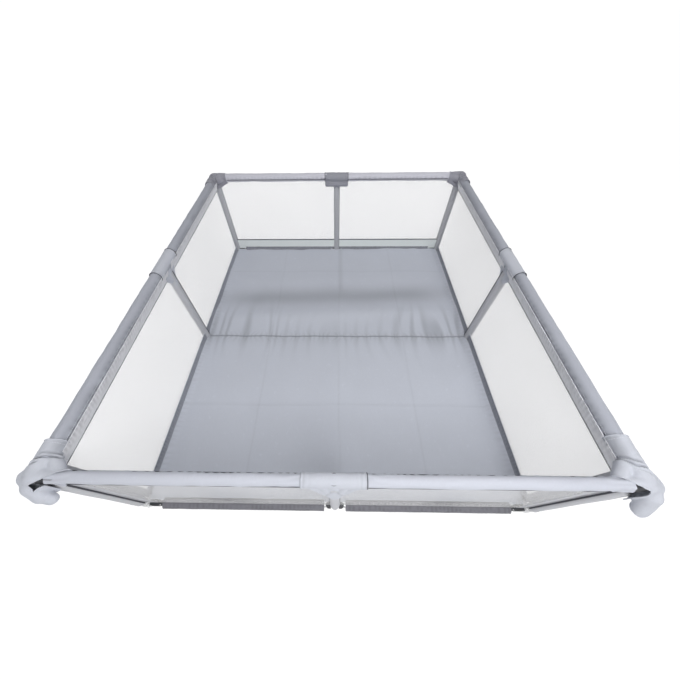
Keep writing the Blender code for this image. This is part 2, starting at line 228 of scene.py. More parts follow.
def sheet_piece(
    name: str, middle: Array, normal: Array, thickness: float, painted_shade: Array | None = None
) -> bpy.types.Object:
    """Make a sheet of cloth with a thickness from a grid of points on its middle surface."""
    rows, cols = middle.shape[:2]
    along = run_lengths(middle[:, cols // 2])
    across = run_lengths(middle[rows // 2])
    uvs = np.stack(np.meshgrid(along, across, indexing="ij"), -1)
    half = np.asarray(normal) * thickness / 2.0
    points = np.concatenate([(middle + half).reshape(-1, 3), (middle - half).reshape(-1, 3)])
    front, places = grid_corners(np.arange(rows - 1), np.arange(cols - 1), rows, cols, uvs)
    count = rows * cols
    rim = [r * cols for r in range(rows)] + [(rows - 1) * cols + c for c in range(1, cols)]
    rim += [r * cols + cols - 1 for r in range(rows - 2, -1, -1)] + list(range(cols - 2, 0, -1))
    ahead = rim[1:] + rim[:1]
    edge = [[b, a, a + count, b + count] for a, b in zip(rim, ahead)]
    flat_uvs = uvs.reshape(-1, 2)
    edge_uvs = np.array([[flat_uvs[b], flat_uvs[a], flat_uvs[a], flat_uvs[b]] for a, b in zip(rim, ahead)])
    faces = front.tolist() + (front[:, ::-1] + count).tolist() + edge
    back_places = places.reshape(-1, 4, 2)[:, ::-1].reshape(-1, 2)
    all_uvs = np.concatenate([places, back_places, edge_uvs.reshape(-1, 2)])
    folds = np.zeros(count) if painted_shade is None else painted_shade.ravel()
    return mesh_piece(name, points, faces, all_uvs, np.concatenate([folds, folds]))


def frames_along(path: Array) -> tuple[Array, Array]:
    """Give two unit directions across a path at each of its points."""
    tangent = np.gradient(path, axis=0)
    tangent /= np.linalg.norm(tangent, axis=1, keepdims=True)
    side = np.zeros_like(path)
    guide = UP if abs(tangent[0][2]) < 0.9 else np.array([1.0, 0.0, 0.0])
    for n, direction in enumerate(tangent):
        guide = guide - direction * (guide @ direction)
        guide = guide / np.linalg.norm(guide)
        side[n] = guide
    return side, np.cross(tangent, side)


def rod_piece(name: str, path: Array, radius: float | Array, sides: int = 8) -> bpy.types.Object:
    """Make a round solid along a path, such as a piping cord, with closed ends."""
    side, other = frames_along(path)
    turn = np.linspace(0.0, FULL_TURN, sides, endpoint=False)
    size = np.broadcast_to(np.asarray(radius, float), (len(path),))[:, None, None]
    ring = np.cos(turn)[None, :, None] * side[:, None] + np.sin(turn)[None, :, None] * other[:, None]
    points = path[:, None] + ring * size
    length = run_lengths(path)
    around = np.linspace(0.0, FULL_TURN * float(np.mean(size)), sides + 1)
    uvs = np.stack(np.meshgrid(length, around, indexing="ij"), -1)
    rows = len(path)
    faces, places = grid_corners(np.arange(rows - 1), np.arange(sides), rows, sides, uvs)
    caps = [list(range(sides)), [(rows - 1) * sides + n for n in range(sides - 1, -1, -1)]]
    cap_uvs = np.zeros((2 * sides, 2))
    return mesh_piece(name, points.reshape(-1, 3), faces.tolist() + caps, np.concatenate([places, cap_uvs]))


def box_uvs(mesh: bpy.types.Mesh) -> None:
    """Lay the weave on a free-form mesh, each face from the side that it faces most."""
    count = len(mesh.loops)
    corner_points = np.zeros(count, np.int32)
    mesh.loops.foreach_get("vertex_index", corner_points)
    points = np.zeros(len(mesh.vertices) * 3)
    mesh.vertices.foreach_get("co", points)
    points = points.reshape(-1, 3)[corner_points]
    normals = np.zeros(len(mesh.polygons) * 3)
    mesh.polygons.foreach_get("normal", normals)
    totals = np.zeros(len(mesh.polygons), np.int32)
    mesh.polygons.foreach_get("loop_total", totals)
    main = np.repeat(np.abs(normals.reshape(-1, 3)).argmax(1), totals)
    views = [(main == axis)[:, None] for axis in range(2)]
    uvs = np.where(views[0], points[:, 1:], np.where(views[1], points[:, ::2], points[:, :2]))
    layer = mesh.uv_layers.get("cloth") or mesh.uv_layers.new(name="cloth")
    layer.data.foreach_set("uv", uvs.astype(np.float32).ravel())


def settled_mesh(source: bpy.types.Object) -> bpy.types.Mesh:
    """Give the mesh of an object with its modifiers applied."""
    evaluated = source.evaluated_get(bpy.context.evaluated_depsgraph_get())
    return bpy.data.meshes.new_from_object(evaluated)


def drop(source: bpy.types.Object) -> None:
    """Remove a helper object."""
    bpy.data.objects.remove(source, do_unlink=True)


@dataclass(frozen=True)
class Limb:
    """A rounded limb of a sewn shape, from one ball to another."""

    start: tuple[float, float, float]
    start_radius: float
    end: tuple[float, float, float]
    end_radius: float

    def add_to(self, work: bmesh.types.BMesh) -> None:
        """Add the limb's hull to a working mesh."""
        part = bmesh.new()
        for centre, radius in ((self.start, self.start_radius), (self.end, self.end_radius)):
            bmesh.ops.create_icosphere(part, subdivisions=3, radius=radius, matrix=Matrix.Translation(centre))
        hull = bmesh.ops.convex_hull(part, input=part.verts)
        spare = [g for g in hull["geom_interior"] + hull["geom_unused"] if isinstance(g, bmesh.types.BMVert)]
        bmesh.ops.delete(part, geom=list(set(spare)), context="VERTS")
        mesh = bpy.data.meshes.new("limb")
        part.to_mesh(mesh)
        part.free()
        work.from_mesh(mesh)
        bpy.data.meshes.remove(mesh)


def sewn_shape(name: str, limbs: list[Limb], grain: float, rounds: int) -> bpy.types.Object:
    """Grow one smooth skin over several limbs.

    Args:
        name: The helper's name.
        limbs: The limbs, in the place where the cloth will be.
        grain: Size of the skin's faces, in metres.
        rounds: How often the skin is smoothed.

    Returns:
        A closed object, not yet cut open.
    """
    work = bmesh.new()
    for limb in limbs:
        limb.add_to(work)
    mesh = bpy.data.meshes.new(name)
    work.to_mesh(mesh)
    work.free()
    rough = as_object(name + "_rough", mesh)
    remesh = rough.modifiers.new("skin", "REMESH")
    remesh.mode = "VOXEL"
    remesh.voxel_size = grain
    smooth = rough.modifiers.new("smooth", "SMOOTH")
    smooth.factor = 0.5
    smooth.iterations = rounds
    skin = as_object(name, settled_mesh(rough))
    drop(rough)
    return skin


def cut_open(skin: bpy.types.Object, planes: list[tuple[Vector, Vector]]) -> None:
    """Cut off what lies past each plane, so that the cloth is open there."""
    work = bmesh.new()
    work.from_mesh(skin.data)
    for point, normal in planes:
        geometry = work.verts[:] + work.edges[:] + work.faces[:]
        bmesh.ops.bisect_plane(
            work, geom=geometry, plane_co=point, plane_no=normal, clear_outer=True, dist=1e-6
        )
    work.to_mesh(skin.data)
    work.free()


def trim(skin: bpy.types.Object, keep: Array) -> None:
    """Cut a skin along a line on it.

    Args:
        skin: The skin.
        keep: For each of its points, more than 0 where the cloth stays, and 0 on the cut.
    """
    work = bmesh.new()
    work.from_mesh(skin.data)
    work.verts.ensure_lookup_table()
    gone = [v for v in work.verts if keep[v.index] < 0.0]
    moves: dict[int, list[Vector]] = {}
    for vertex in gone:
        for edge in vertex.link_edges:
            near = edge.other_vert(vertex)
            if keep[near.index] >= 0.0:
                part = keep[near.index] / (keep[near.index] - keep[vertex.index])
                moves.setdefault(near.index, []).append(near.co.lerp(vertex.co, part))
    for index, places in moves.items():
        work.verts[index].co = sum(places, Vector()) / len(places)
    bmesh.ops.delete(work, geom=gone, context="VERTS")
    work.to_mesh(skin.data)
    work.free()
    skin.data.update()


def skin_points(skin: bpy.types.Object) -> tuple[Array, Array]:
    """Give a skin's points and the directions that they face."""
    points = np.array([v.co for v in skin.data.vertices], float)
    normals = np.array([v.normal for v in skin.data.vertices], float)
    return points, normals


def move_points(skin: bpy.types.Object, places: Array) -> None:
    """Put the points of a skin at new places."""
    for vertex, place in zip(skin.data.vertices, places):
        vertex.co = place


def cloth_area(piece: bpy.types.Object, cut: tuple[float, float], least: float) -> float:
    """Give about half of a shell's surface, which is the cloth's area, within what its cut allows.

    Args:
        piece: The shell, with its inner and outer side.
        cut: The width and length of the cut.
        least: The smallest share of the cut that the cloth can be.

    Returns:
        The area in square metres.
    """
    total = sum(face.area for face in piece.data.polygons) / 2.0
    whole = cut[0] * cut[1]
    return min(max(total, least * whole), whole)


def with_wall(name: str, skin: bpy.types.Object, wall: float) -> bpy.types.Object:
    """Give an open skin its cloth thickness, inwards, and make it a piece."""
    solid = skin.modifiers.new("wall", "SOLIDIFY")
    solid.thickness = wall
    solid.offset = -1.0
    solid.use_rim = True
    mesh = settled_mesh(skin)
    drop(skin)
    mesh.name = name
    face_outwards(mesh)
    box_uvs(mesh)
    mesh.shade_smooth()
    mesh.set_sharp_from_angle(angle=SHARP_SEWN_EDGE)
    return as_object(name, mesh)


def rim_paths(skin: bpy.types.Object) -> list[Array]:
    """Give the open edges of a skin as closed runs of points."""
    work = bmesh.new()
    work.from_mesh(skin.data)
    left = {e for e in work.edges if e.is_boundary}
    paths = []
    while left:
        edge = left.pop()
        first, here = edge.verts
        run = [first.co.copy(), here.co.copy()]
        while here != first:
            ahead = next((e for e in here.link_edges if e in left), None)
            if ahead is None:
                break
            left.discard(ahead)
            here = ahead.other_vert(here)
            run.append(here.co.copy())
        paths.append(np.array(run))
    work.free()
    return [p for p in paths if len(p) > 12]


def even_path(path: Array, pitch: float, closed: bool) -> Array:
    """Space a path's points evenly and take out its small steps."""
    if closed:
        core = path[:-1]
        for _ in range(3):
            core = (np.roll(core, 1, 0) + 2.0 * core + np.roll(core, -1, 0)) / 4.0
        path = np.concatenate([core, core[:1]])
    length = np.concatenate([[0.0], np.cumsum(np.linalg.norm(np.diff(path, axis=0), axis=1))])
    places = spaced(0.0, float(length[-1]), pitch)
    return np.stack([np.interp(places, length, path[:, axis]) for axis in range(3)], -1)


# ---------------------------------------------------------------- shader maths


class Signal:
    """A number that varies over a surface, which takes part in Python arithmetic."""

    def __init__(self, graph: "Graph", socket: bpy.types.NodeSocket) -> None:
        """Wrap a socket of a material's graph."""
        self.graph = graph
        self.socket = socket

    def maths(self, operation: str, *values: "Signal | float") -> "Signal":
        """Add a Math node and give its result."""
        return self.graph.value("ShaderNodeMath", {"operation": operation}, dict(enumerate(values)))

    def __add__(self, other: "Signal | float") -> "Signal":
        """Add."""
        return self.maths("ADD", self, other)

    __radd__ = __add__

    def __mul__(self, other: "Signal | float") -> "Signal":
        """Multiply."""
        return self.maths("MULTIPLY", self, other)

    __rmul__ = __mul__

    def __sub__(self, other: "Signal | float") -> "Signal":
        """Take the other away."""
        return self.maths("SUBTRACT", self, other)

    def __rsub__(self, other: "Signal | float") -> "Signal":
        """Take this away from the other."""
        return self.maths("SUBTRACT", other, self)

    def sine(self) -> "Signal":
        """Give the sine."""
        return self.maths("SINE", self)

    def cosine(self) -> "Signal":
        """Give the cosine."""
        return self.maths("COSINE", self)

    def clamped(self) -> "Signal":
        """Keep the value between 0 and 1."""
        return self.maths("MINIMUM", self.maths("MAXIMUM", self, 0.0), 1.0)

    def above(self, edge: float, soft: float) -> "Signal":
        """Give 1 where the value is above the edge, with a soft step."""
        return ((self - edge) * (1.0 / soft) + 0.5).clamped()


class Graph:
    """A material's nodes, built by plain calls."""

    def __init__(self, name: str) -> None:
        """Start a material with one Principled shader."""
        self.material = bpy.data.materials.new(name)
        self.material.use_nodes = True
        self.tree = self.material.node_tree
        self.shader = self.tree.nodes["Principled BSDF"]
        self.out = self.tree.nodes["Material Output"]

    def node(self, kind: str, settings: dict | None = None, inputs: dict | None = None) -> bpy.types.Node:
        """Add a node.

        Args:
            kind: The node's type.
            settings: Its settings, set first. "stops" gives a ramp's places and values.
            inputs: A value or a link for each socket, by name or number.

        Returns:
            The new node.
        """
        node = self.tree.nodes.new(kind)
        for key, value in (settings or {}).items():
            if key == "stops":
                for element, (place, level) in zip(node.color_ramp.elements, value):
                    element.position = place
                    element.color = (level, level, level, 1.0)
            else:
                setattr(node, key, value)
        for key, value in (inputs or {}).items():
            self.feed(node.inputs[key], value)
        return node

    def feed(self, socket: bpy.types.NodeSocket, value: object) -> None:
        """Link a signal or another socket to a socket, or set its value."""
        if isinstance(value, Signal):
            self.tree.links.new(value.socket, socket)
        elif isinstance(value, bpy.types.NodeSocket):
            self.tree.links.new(value, socket)
        else:
            socket.default_value = value

    def value(
        self, kind: str, settings: dict | None = None, inputs: dict | None = None, output: object = 0
    ) -> Signal:
        """Add a node and give one of its outputs as a signal."""
        return Signal(self, self.node(kind, settings, inputs).outputs[output])

    def mix(self, factor: Signal | float, first: object, second: object) -> bpy.types.NodeSocket:
        """Mix two colours."""
        node = self.node("ShaderNodeMix", {"data_type": "RGBA"}, {0: factor, 6: first, 7: second})
        return node.outputs[2]

    def cloth_place(self) -> tuple[Signal, Signal]:
        """Give the place on the cloth along its two threads, in metres."""
        place = self.node("ShaderNodeUVMap", {"uv_map": "cloth"})
        split = self.node("ShaderNodeSeparateXYZ", None, {0: place.outputs[0]})
        return Signal(self, split.outputs[0]), Signal(self, split.outputs[1])

    def patches(self, scale: float, detail: float = 2.0, stretch: tuple = (1.0, 1.0, 1.0)) -> Signal:
        """Give soft noise on the object's own coordinates, from 0 to 1."""
        place = self.node("ShaderNodeTexCoord").outputs["Object"]
        turned = self.node("ShaderNodeMapping", None, {0: place, "Scale": stretch}).outputs[0]
        return self.value("ShaderNodeTexNoise", None, {"Vector": turned, "Scale": scale, "Detail": detail})

    def bump(self, strength: float, distance: float, height: Signal) -> bpy.types.NodeSocket:
        """Give the direction that a surface with small relief faces."""
        inputs = {"Strength": strength, "Distance": distance, "Height": height}
        return self.node("ShaderNodeBump", None, inputs).outputs[0]

    def dress(self, values: dict) -> bpy.types.Material:
        """Set the shader's sockets and give the material."""
        for key, value in values.items():
            self.feed(self.shader.inputs[key], value)
        return self.material


def linear(red: int, green: int, blue: int) -> Colour:
    """Turn a screen colour of 0 to 255 into light amounts."""
    parts = [c / 255.0 for c in (red, green, blue)]
    return tuple(c / 12.92 if c <= 0.04045 else ((c + 0.055) / 1.055) ** 2.4 for c in parts)


def shade(colour: Colour, amount: float) -> tuple[float, float, float, float]:
    """Make a colour lighter or darker, for a node's socket."""
    return tuple(min(1.0, c * amount) for c in colour) + (1.0,)


@dataclass(frozen=True)
class ClothFinish:
    """A woven cloth: its colour, threads, sheen, uneven dye and the shade in its folds."""

    name: str
    colour: Colour
    thread: float = 0.0009
    relief: float = 0.00012
    heather: float = 0.10
    mottle: float = 0.07
    fold_shade: float = 0.45
    roughness: float = 0.82
    sheen: float = 0.25

    def material(self) -> bpy.types.Material:
        """Build the cloth's material: a plain weave on the cloth's own threads."""
        graph = Graph(self.name)
        u, v = graph.cloth_place()
        turn = math.pi / self.thread
        warp = (u * turn).sine()
        weft = (v * turn).sine()
        weave = warp * weft
        yarn = graph.patches(420.0, 1.0, (1.0, 0.12, 1.0))
        slub = graph.patches(160.0, 2.0, (0.2, 1.0, 1.0))
        dye = graph.patches(5.0, 3.0)
        worn = graph.patches(38.0, 4.0).above(0.68, 0.12)
        # Painted shade: the crease attribute darkens the colour toward 30 % of it in folds and on shaded
        # sides.
        fold = graph.value("ShaderNodeAttribute", {"attribute_name": "painted_shade"}, None, "Fac")
        level = 0.5 + (yarn - 0.5) * (self.heather * 4.0) + (slub - 0.5) * (self.heather * 2.0)
        level = (level + (dye - 0.5) * (self.mottle * 6.0) + weave * 0.10).clamped()
        ground = graph.mix(level, shade(self.colour, 0.88), shade(self.colour, 1.10))
        rubbed = graph.mix(worn * 0.16, ground, shade(self.colour, 1.35))
        with_painted_shade = graph.mix((fold * self.fold_shade).clamped(), rubbed, shade(self.colour, 0.30))
        height = weave * 0.5 + yarn * 0.6 + slub * 0.3
        bump = graph.bump(0.55, self.relief, height)
        rough = (self.roughness + (slub - 0.5) * 0.12 - worn * 0.08).clamped()
        sheen = {"Sheen Weight": self.sheen, "Sheen Roughness": 0.5, "Sheen Tint": shade(self.colour, 1.6)}
        return graph.dress(sheen | {"Base Color": with_painted_shade, "Roughness": rough, "Normal": bump})


@dataclass(frozen=True)
class NetFinish:
    """A fine knitted net: round holes in staggered rows between soft threads."""

    name: str
    colour: Colour
    hole_pitch: float = 0.0026
    cover: float = -0.95

    def material(self) -> bpy.types.Material:
        """Build the net's material, with holes cut by its alpha."""
        graph = Graph(self.name)
        u, v = graph.cloth_place()
        wave = FULL_TURN / (self.hole_pitch * math.sqrt(3.0) / 2.0)
        slant = math.sqrt(3.0) / 2.0
        first = (u * wave).cosine()
        second = (u * (-0.5 * wave) + v * (slant * wave)).cosine()
        third = (u * (-0.5 * wave) - v * (slant * wave)).cosine()
        knit = first + second + third
        thread = 1.0 - knit.above(self.cover, 0.5)
        fuzz = graph.patches(300.0, 2.0)
        tone = graph.patches(4.0, 2.0)
        level = (fuzz * 0.5 + tone * 0.5).clamped()
        tint = graph.mix(level, shade(self.colour, 0.90), shade(self.colour, 1.06))
        bump = graph.bump(0.2, 0.0002, thread)
        look = {"Sheen Weight": 0.2, "Base Color": tint, "Roughness": 0.75 + fuzz * 0.1}
        return graph.dress(look | {"Alpha": thread, "Normal": bump})


@dataclass(frozen=True)
class HardFinish:
    """Paint or moulded plastic: fine grain, faint scratches and rubbed spots."""

    name: str
    colour: Colour
    roughness: float
    metallic: float = 0.0
    grain: float = 900.0
    coat: float = 0.0

    def material(self) -> bpy.types.Material:
        """Build the material."""
        graph = Graph(self.name)
        grain = graph.patches(self.grain, 2.0)
        scratch = graph.patches(90.0, 4.0, (1.0, 1.0, 0.06)).above(0.66, 0.05)
        grime = graph.patches(24.0, 3.0)
        level = (0.5 + (grime - 0.5) * 0.7 + (grain - 0.5) * 0.3).clamped()
        ground = graph.mix(level, shade(self.colour, 0.86), shade(self.colour, 1.10))
        worn = graph.mix(scratch * 0.35, ground, shade(self.colour, 1.5))
        bump = graph.bump(0.35, 0.0001, grain)
        rough = (self.roughness + (grime - 0.5) * 0.2 + scratch * 0.12).clamped()
        paint = {"Metallic": self.metallic, "Coat Weight": self.coat}
        return graph.dress(paint | {"Base Color": worn, "Roughness": rough, "Normal": bump})


BUILT: dict[str, bpy.types.Material] = {}


class Finish(Enum):
    """The finishes of the playpen."""

    RAIL = ClothFinish("rail_cloth", linear(190, 193, 203), mottle=0.05)
    # Painted light: a lighter copy of the rail cloth, for the back rails.
    LIT_BACK_RAIL = ClothFinish("lit_back_rail_cloth", linear(206, 206, 216), mottle=0.06)
    # Painted shade: a darker copy of the boot cloth, for the tucked boots at the back.
    SHADED_BACK_BOOT = ClothFinish("shaded_back_boot_cloth", linear(156, 156, 166), mottle=0.10, fold_shade=0.72)
    # Painted shade: a darker copy of the rail cloth, for the side rails.
    SHADED_SIDE_RAIL = ClothFinish("shaded_side_rail_cloth", linear(170, 173, 183), mottle=0.08, fold_shade=0.62)
    BOOT = ClothFinish("boot_cloth", linear(190, 193, 202), mottle=0.06, fold_shade=0.62)
    COVER = ClothFinish("cover_weave", linear(188, 191, 200), mottle=0.06, fold_shade=0.55)
    # Painted shade: a darker copy of the cover cloth, for the back cover.
    SHADED_BACK_COVER = ClothFinish("shaded_back_cover_weave", linear(150, 151, 160), mottle=0.10, fold_shade=0.62)
    LEG = ClothFinish("leg_cloth", linear(184, 185, 190), mottle=0.08)
    GATHER = ClothFinish("gathered_cloth", linear(158, 161, 170), mottle=0.08, fold_shade=0.7)
    BORDER = ClothFinish("border_cloth", linear(244, 244, 250), thread=0.0016, relief=0.0002, fold_shade=0.6)
    LOW = ClothFinish("bottom_rail_cloth", linear(122, 122, 129), mottle=0.08, fold_shade=0.6)
    LOW_SIDE = ClothFinish("side_bottom_cloth", linear(140, 141, 150), mottle=0.08, fold_shade=0.7)
    BAND = ClothFinish("pale_band_cloth", linear(240, 247, 244), mottle=0.04)
    FLOOR = ClothFinish(
        "floor_weave", linear(190, 194, 204), heather=0.07, mottle=0.05, fold_shade=0.7, sheen=0.4
    )
    PALE_CORD = ClothFinish("pale_piping", linear(214, 216, 222), mottle=0.03)
    DARK_CORD = ClothFinish("dark_piping", linear(66, 67, 74), mottle=0.03)
    THREAD = ClothFinish("sewing_thread", linear(206, 208, 215), mottle=0.02)
    NET = NetFinish("mesh_net", linear(242, 242, 244))
    TUBE = HardFinish("tube_paint", linear(205, 206, 208), 0.36, 0.6, coat=0.2)
    JOINT = HardFinish("joint_moulding", linear(62, 63, 67), 0.48)
    FOOT = HardFinish("foot_moulding", linear(222, 223, 225), 0.42, coat=0.1)

    def material(self) -> bpy.types.Material:
        """Give this finish's material, built once."""
        if self.value.name not in BUILT:
            BUILT[self.value.name] = self.value.material()
        return BUILT[self.value.name]


def finish_piece(piece: bpy.types.Object, finish: Finish, slot: str) -> bpy.types.Object:
    """Dress a piece with its finish, and log its face count."""
    piece.data.materials.clear()
    piece.data.materials.append(finish.material())
    LOG.info("%s: %d faces", piece.name, len(piece.data.polygons))
    return piece


# ---------------------------------------------------------------- the frame's places


class Toe(Enum):
    """How the free end of a corner boot hangs."""

    STRAIGHT = "straight"
    HOOKED = "hooked"
    TUCKED = "tucked"


@dataclass(frozen=True)
class Corner:
    """One corner of the pen, with its directions along the side wall and along the end wall."""

    side: str
    end: str
    x: float
    y: float
    way_x: float
    way_y: float
    toe: Toe

    @property
    def wall(self) -> str:
        """Name the side wall's body."""
        return f"{self.side}_wall"

    @property
    def half(self) -> str:
        """Name the body of the half wall that joins this corner."""
        return f"{self.end}_{self.side}_half"

    def place(self, a: float, b: float, z: float) -> tuple[float, float, float]:
        """Turn distances along the side wall and the end wall into a place."""
        return (self.x + self.way_x * b, self.y + self.way_y * a, z)


@dataclass(frozen=True)
class PenFrame:
    """The frame's measures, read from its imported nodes."""

    rail_x: float
    rail_y: float
    rail_z: float
    rail_radius: float
    low_z: float
    low_radius: float
    foot_high: float
    foot_radius: float
    lug_top: float
    corner_pin: float
    middle_pin: float
    half_sleeve: tuple[float, float]
    floor_x: float
    floor_y: float
    floor_z: float
    cover_half: float

    @classmethod
    def read(cls) -> "PenFrame":
        """Measure the frame's nodes."""
        rail_low, rail_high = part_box("left_rail_sleeve")
        half_low, half_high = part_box("front_right_rail_sleeve")
        low_low, low_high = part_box("left_bottom_tube")
        floor_low, floor_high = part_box("floor_sheet")
        pins = {j["name"]: j["pos_m"] for j in frame["joints"]}
        rail_x = -(rail_low.x + rail_high.x) / 2
        return cls(
            rail_x=rail_x,
            rail_y=-(half_low.y + half_high.y) / 2,
            rail_z=(rail_low.z + rail_high.z) / 2,
            rail_radius=(rail_high.x - rail_low.x) / 2,
            low_z=(low_low.z + low_high.z) / 2,
            low_radius=(low_high.x - low_low.x) / 2,
            foot_high=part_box("left_centre_foot")[1].z,
            foot_radius=FOOT_RADIUS,
            lug_top=(low_low.z + low_high.z) / 2 + LUG_REACH,
            corner_pin=rail_x - abs(pins["front_right_hinge"][0]),
            middle_pin=abs(pins["front_middle_right_hinge"][0]),
            half_sleeve=(half_low.x, half_high.x),
            floor_x=floor_high.x,
            floor_y=floor_high.y,
            floor_z=(floor_low.z + floor_high.z) / 2,
            cover_half=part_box("front_centre_cover")[1].x,
        )

    def corners(self) -> list[Corner]:
        """Give the four corners."""
        toes = {("left", "front"): Toe.HOOKED, ("right", "front"): Toe.STRAIGHT}
        made = []
        for side, sign_x in (("left", -1.0), ("right", 1.0)):
            for end, sign_y in (("front", -1.0), ("back", 1.0)):
                toe = toes.get((side, end), Toe.TUCKED)
                x, y = sign_x * self.rail_x, sign_y * self.rail_y
                made.append(Corner(side, end, x, y, -sign_x, -sign_y, toe))
        return made


# ---------------------------------------------------------------- stitches


class StitchRows:
    """Rows of thread stitches along paths, one piece for each body."""

    def __init__(self, length: float = 0.0042, pitch: float = 0.0065, radius: float = 0.0006) -> None:
        """Keep the stitch's sizes and start with no rows."""
        self.length = length
        self.pitch = pitch
        self.radius = radius
        self.rows: dict[str, list[Array]] = {}
        self.tree = self.build_tree()

    def add(self, body: str, path: Array) -> None:
        """Add a row of stitches on a body, along a path on its cloth."""
        self.rows.setdefault(body, []).append(path)

    def build_tree(self) -> bpy.types.NodeTree:
        """Build the node tree: spaced stitches along a curve, turned to follow it."""
        tree = bpy.data.node_groups.new("stitch_row", "GeometryNodeTree")
        face = tree.interface
        face.new_socket("Rows", in_out="INPUT", socket_type="NodeSocketGeometry")
        for name, value in (("Pitch", self.pitch), ("Length", self.length), ("Radius", self.radius)):
            socket = face.new_socket(name, in_out="INPUT", socket_type="NodeSocketFloat")
            socket.default_value = value
        face.new_socket("Thread", in_out="INPUT", socket_type="NodeSocketMaterial")
        face.new_socket("Stitches", in_out="OUTPUT", socket_type="NodeSocketGeometry")
        add, link = tree.nodes.new, tree.links.new
        entry, leave = add("NodeGroupInput"), add("NodeGroupOutput")
        spacing = add("GeometryNodeCurveToPoints")
        spacing.mode = "LENGTH"
        link(entry.outputs["Rows"], spacing.inputs["Curve"])
        link(entry.outputs["Pitch"], spacing.inputs["Length"])
        thread = add("GeometryNodeMeshCylinder")
        thread.inputs["Vertices"].default_value = 6
        link(entry.outputs["Radius"], thread.inputs["Radius"])
        link(entry.outputs["Length"], thread.inputs["Depth"])
        wobble = add("FunctionNodeRandomValue")
        wobble.data_type = "FLOAT_VECTOR"
        wobble.inputs[0].default_value = (0.88, 0.88, 0.85)
        wobble.inputs[1].default_value = (1.12, 1.12, 1.08)
        wobble.inputs["Seed"].default_value = 7
        place = add("GeometryNodeInstanceOnPoints")
        link(spacing.outputs["Points"], place.inputs["Points"])
        link(thread.outputs["Mesh"], place.inputs["Instance"])
        link(spacing.outputs["Rotation"], place.inputs["Rotation"])
        link(wobble.outputs[0], place.inputs["Scale"])
        real = add("GeometryNodeRealizeInstances")
        link(place.outputs[0], real.inputs[0])
        dress = add("GeometryNodeSetMaterial")
        link(real.outputs[0], dress.inputs["Geometry"])
        link(entry.outputs["Thread"], dress.inputs["Material"])
        link(dress.outputs[0], leave.inputs[0])
        return tree

    def curve(self, name: str, paths: list[Array]) -> bpy.types.Object:
        """Make one curve object that holds several paths."""
        data = bpy.data.curves.new(name, "CURVE")
        data.dimensions = "3D"
        for path in paths:
            spline = data.splines.new("POLY")
            spline.points.add(len(path) - 1)
            spline.points.foreach_set("co", np.concatenate([path, np.ones((len(path), 1))], 1).ravel())
        rows = bpy.data.objects.new(name, data)
        bpy.context.scene.collection.objects.link(rows)
        return rows

    def sew(self) -> None:
        """Make the stitches of each body and let them ride on it."""
        for body, paths in sorted(self.rows.items()):
            rows = self.curve(f"{body}_rows", paths)
            modifier = rows.modifiers.new("stitches", "NODES")
            modifier.node_group = self.tree
            for item in self.tree.interface.items_tree:
                if item.in_out == "INPUT" and item.name == "Thread":
                    modifier[item.identifier] = Finish.THREAD.material()
            mesh = settled_mesh(rows)
            drop(rows)
            mesh.name = f"{body}_stitches"
            box_uvs(mesh)
            store_painted_shade(mesh, np.zeros(len(mesh.vertices)))
            mesh.shade_smooth()
            piece = as_object(f"{body}_stitches", mesh)
            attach(finish_piece(piece, Finish.THREAD, "padded_cloth"), body)


# ---------------------------------------------------------------- padded rails


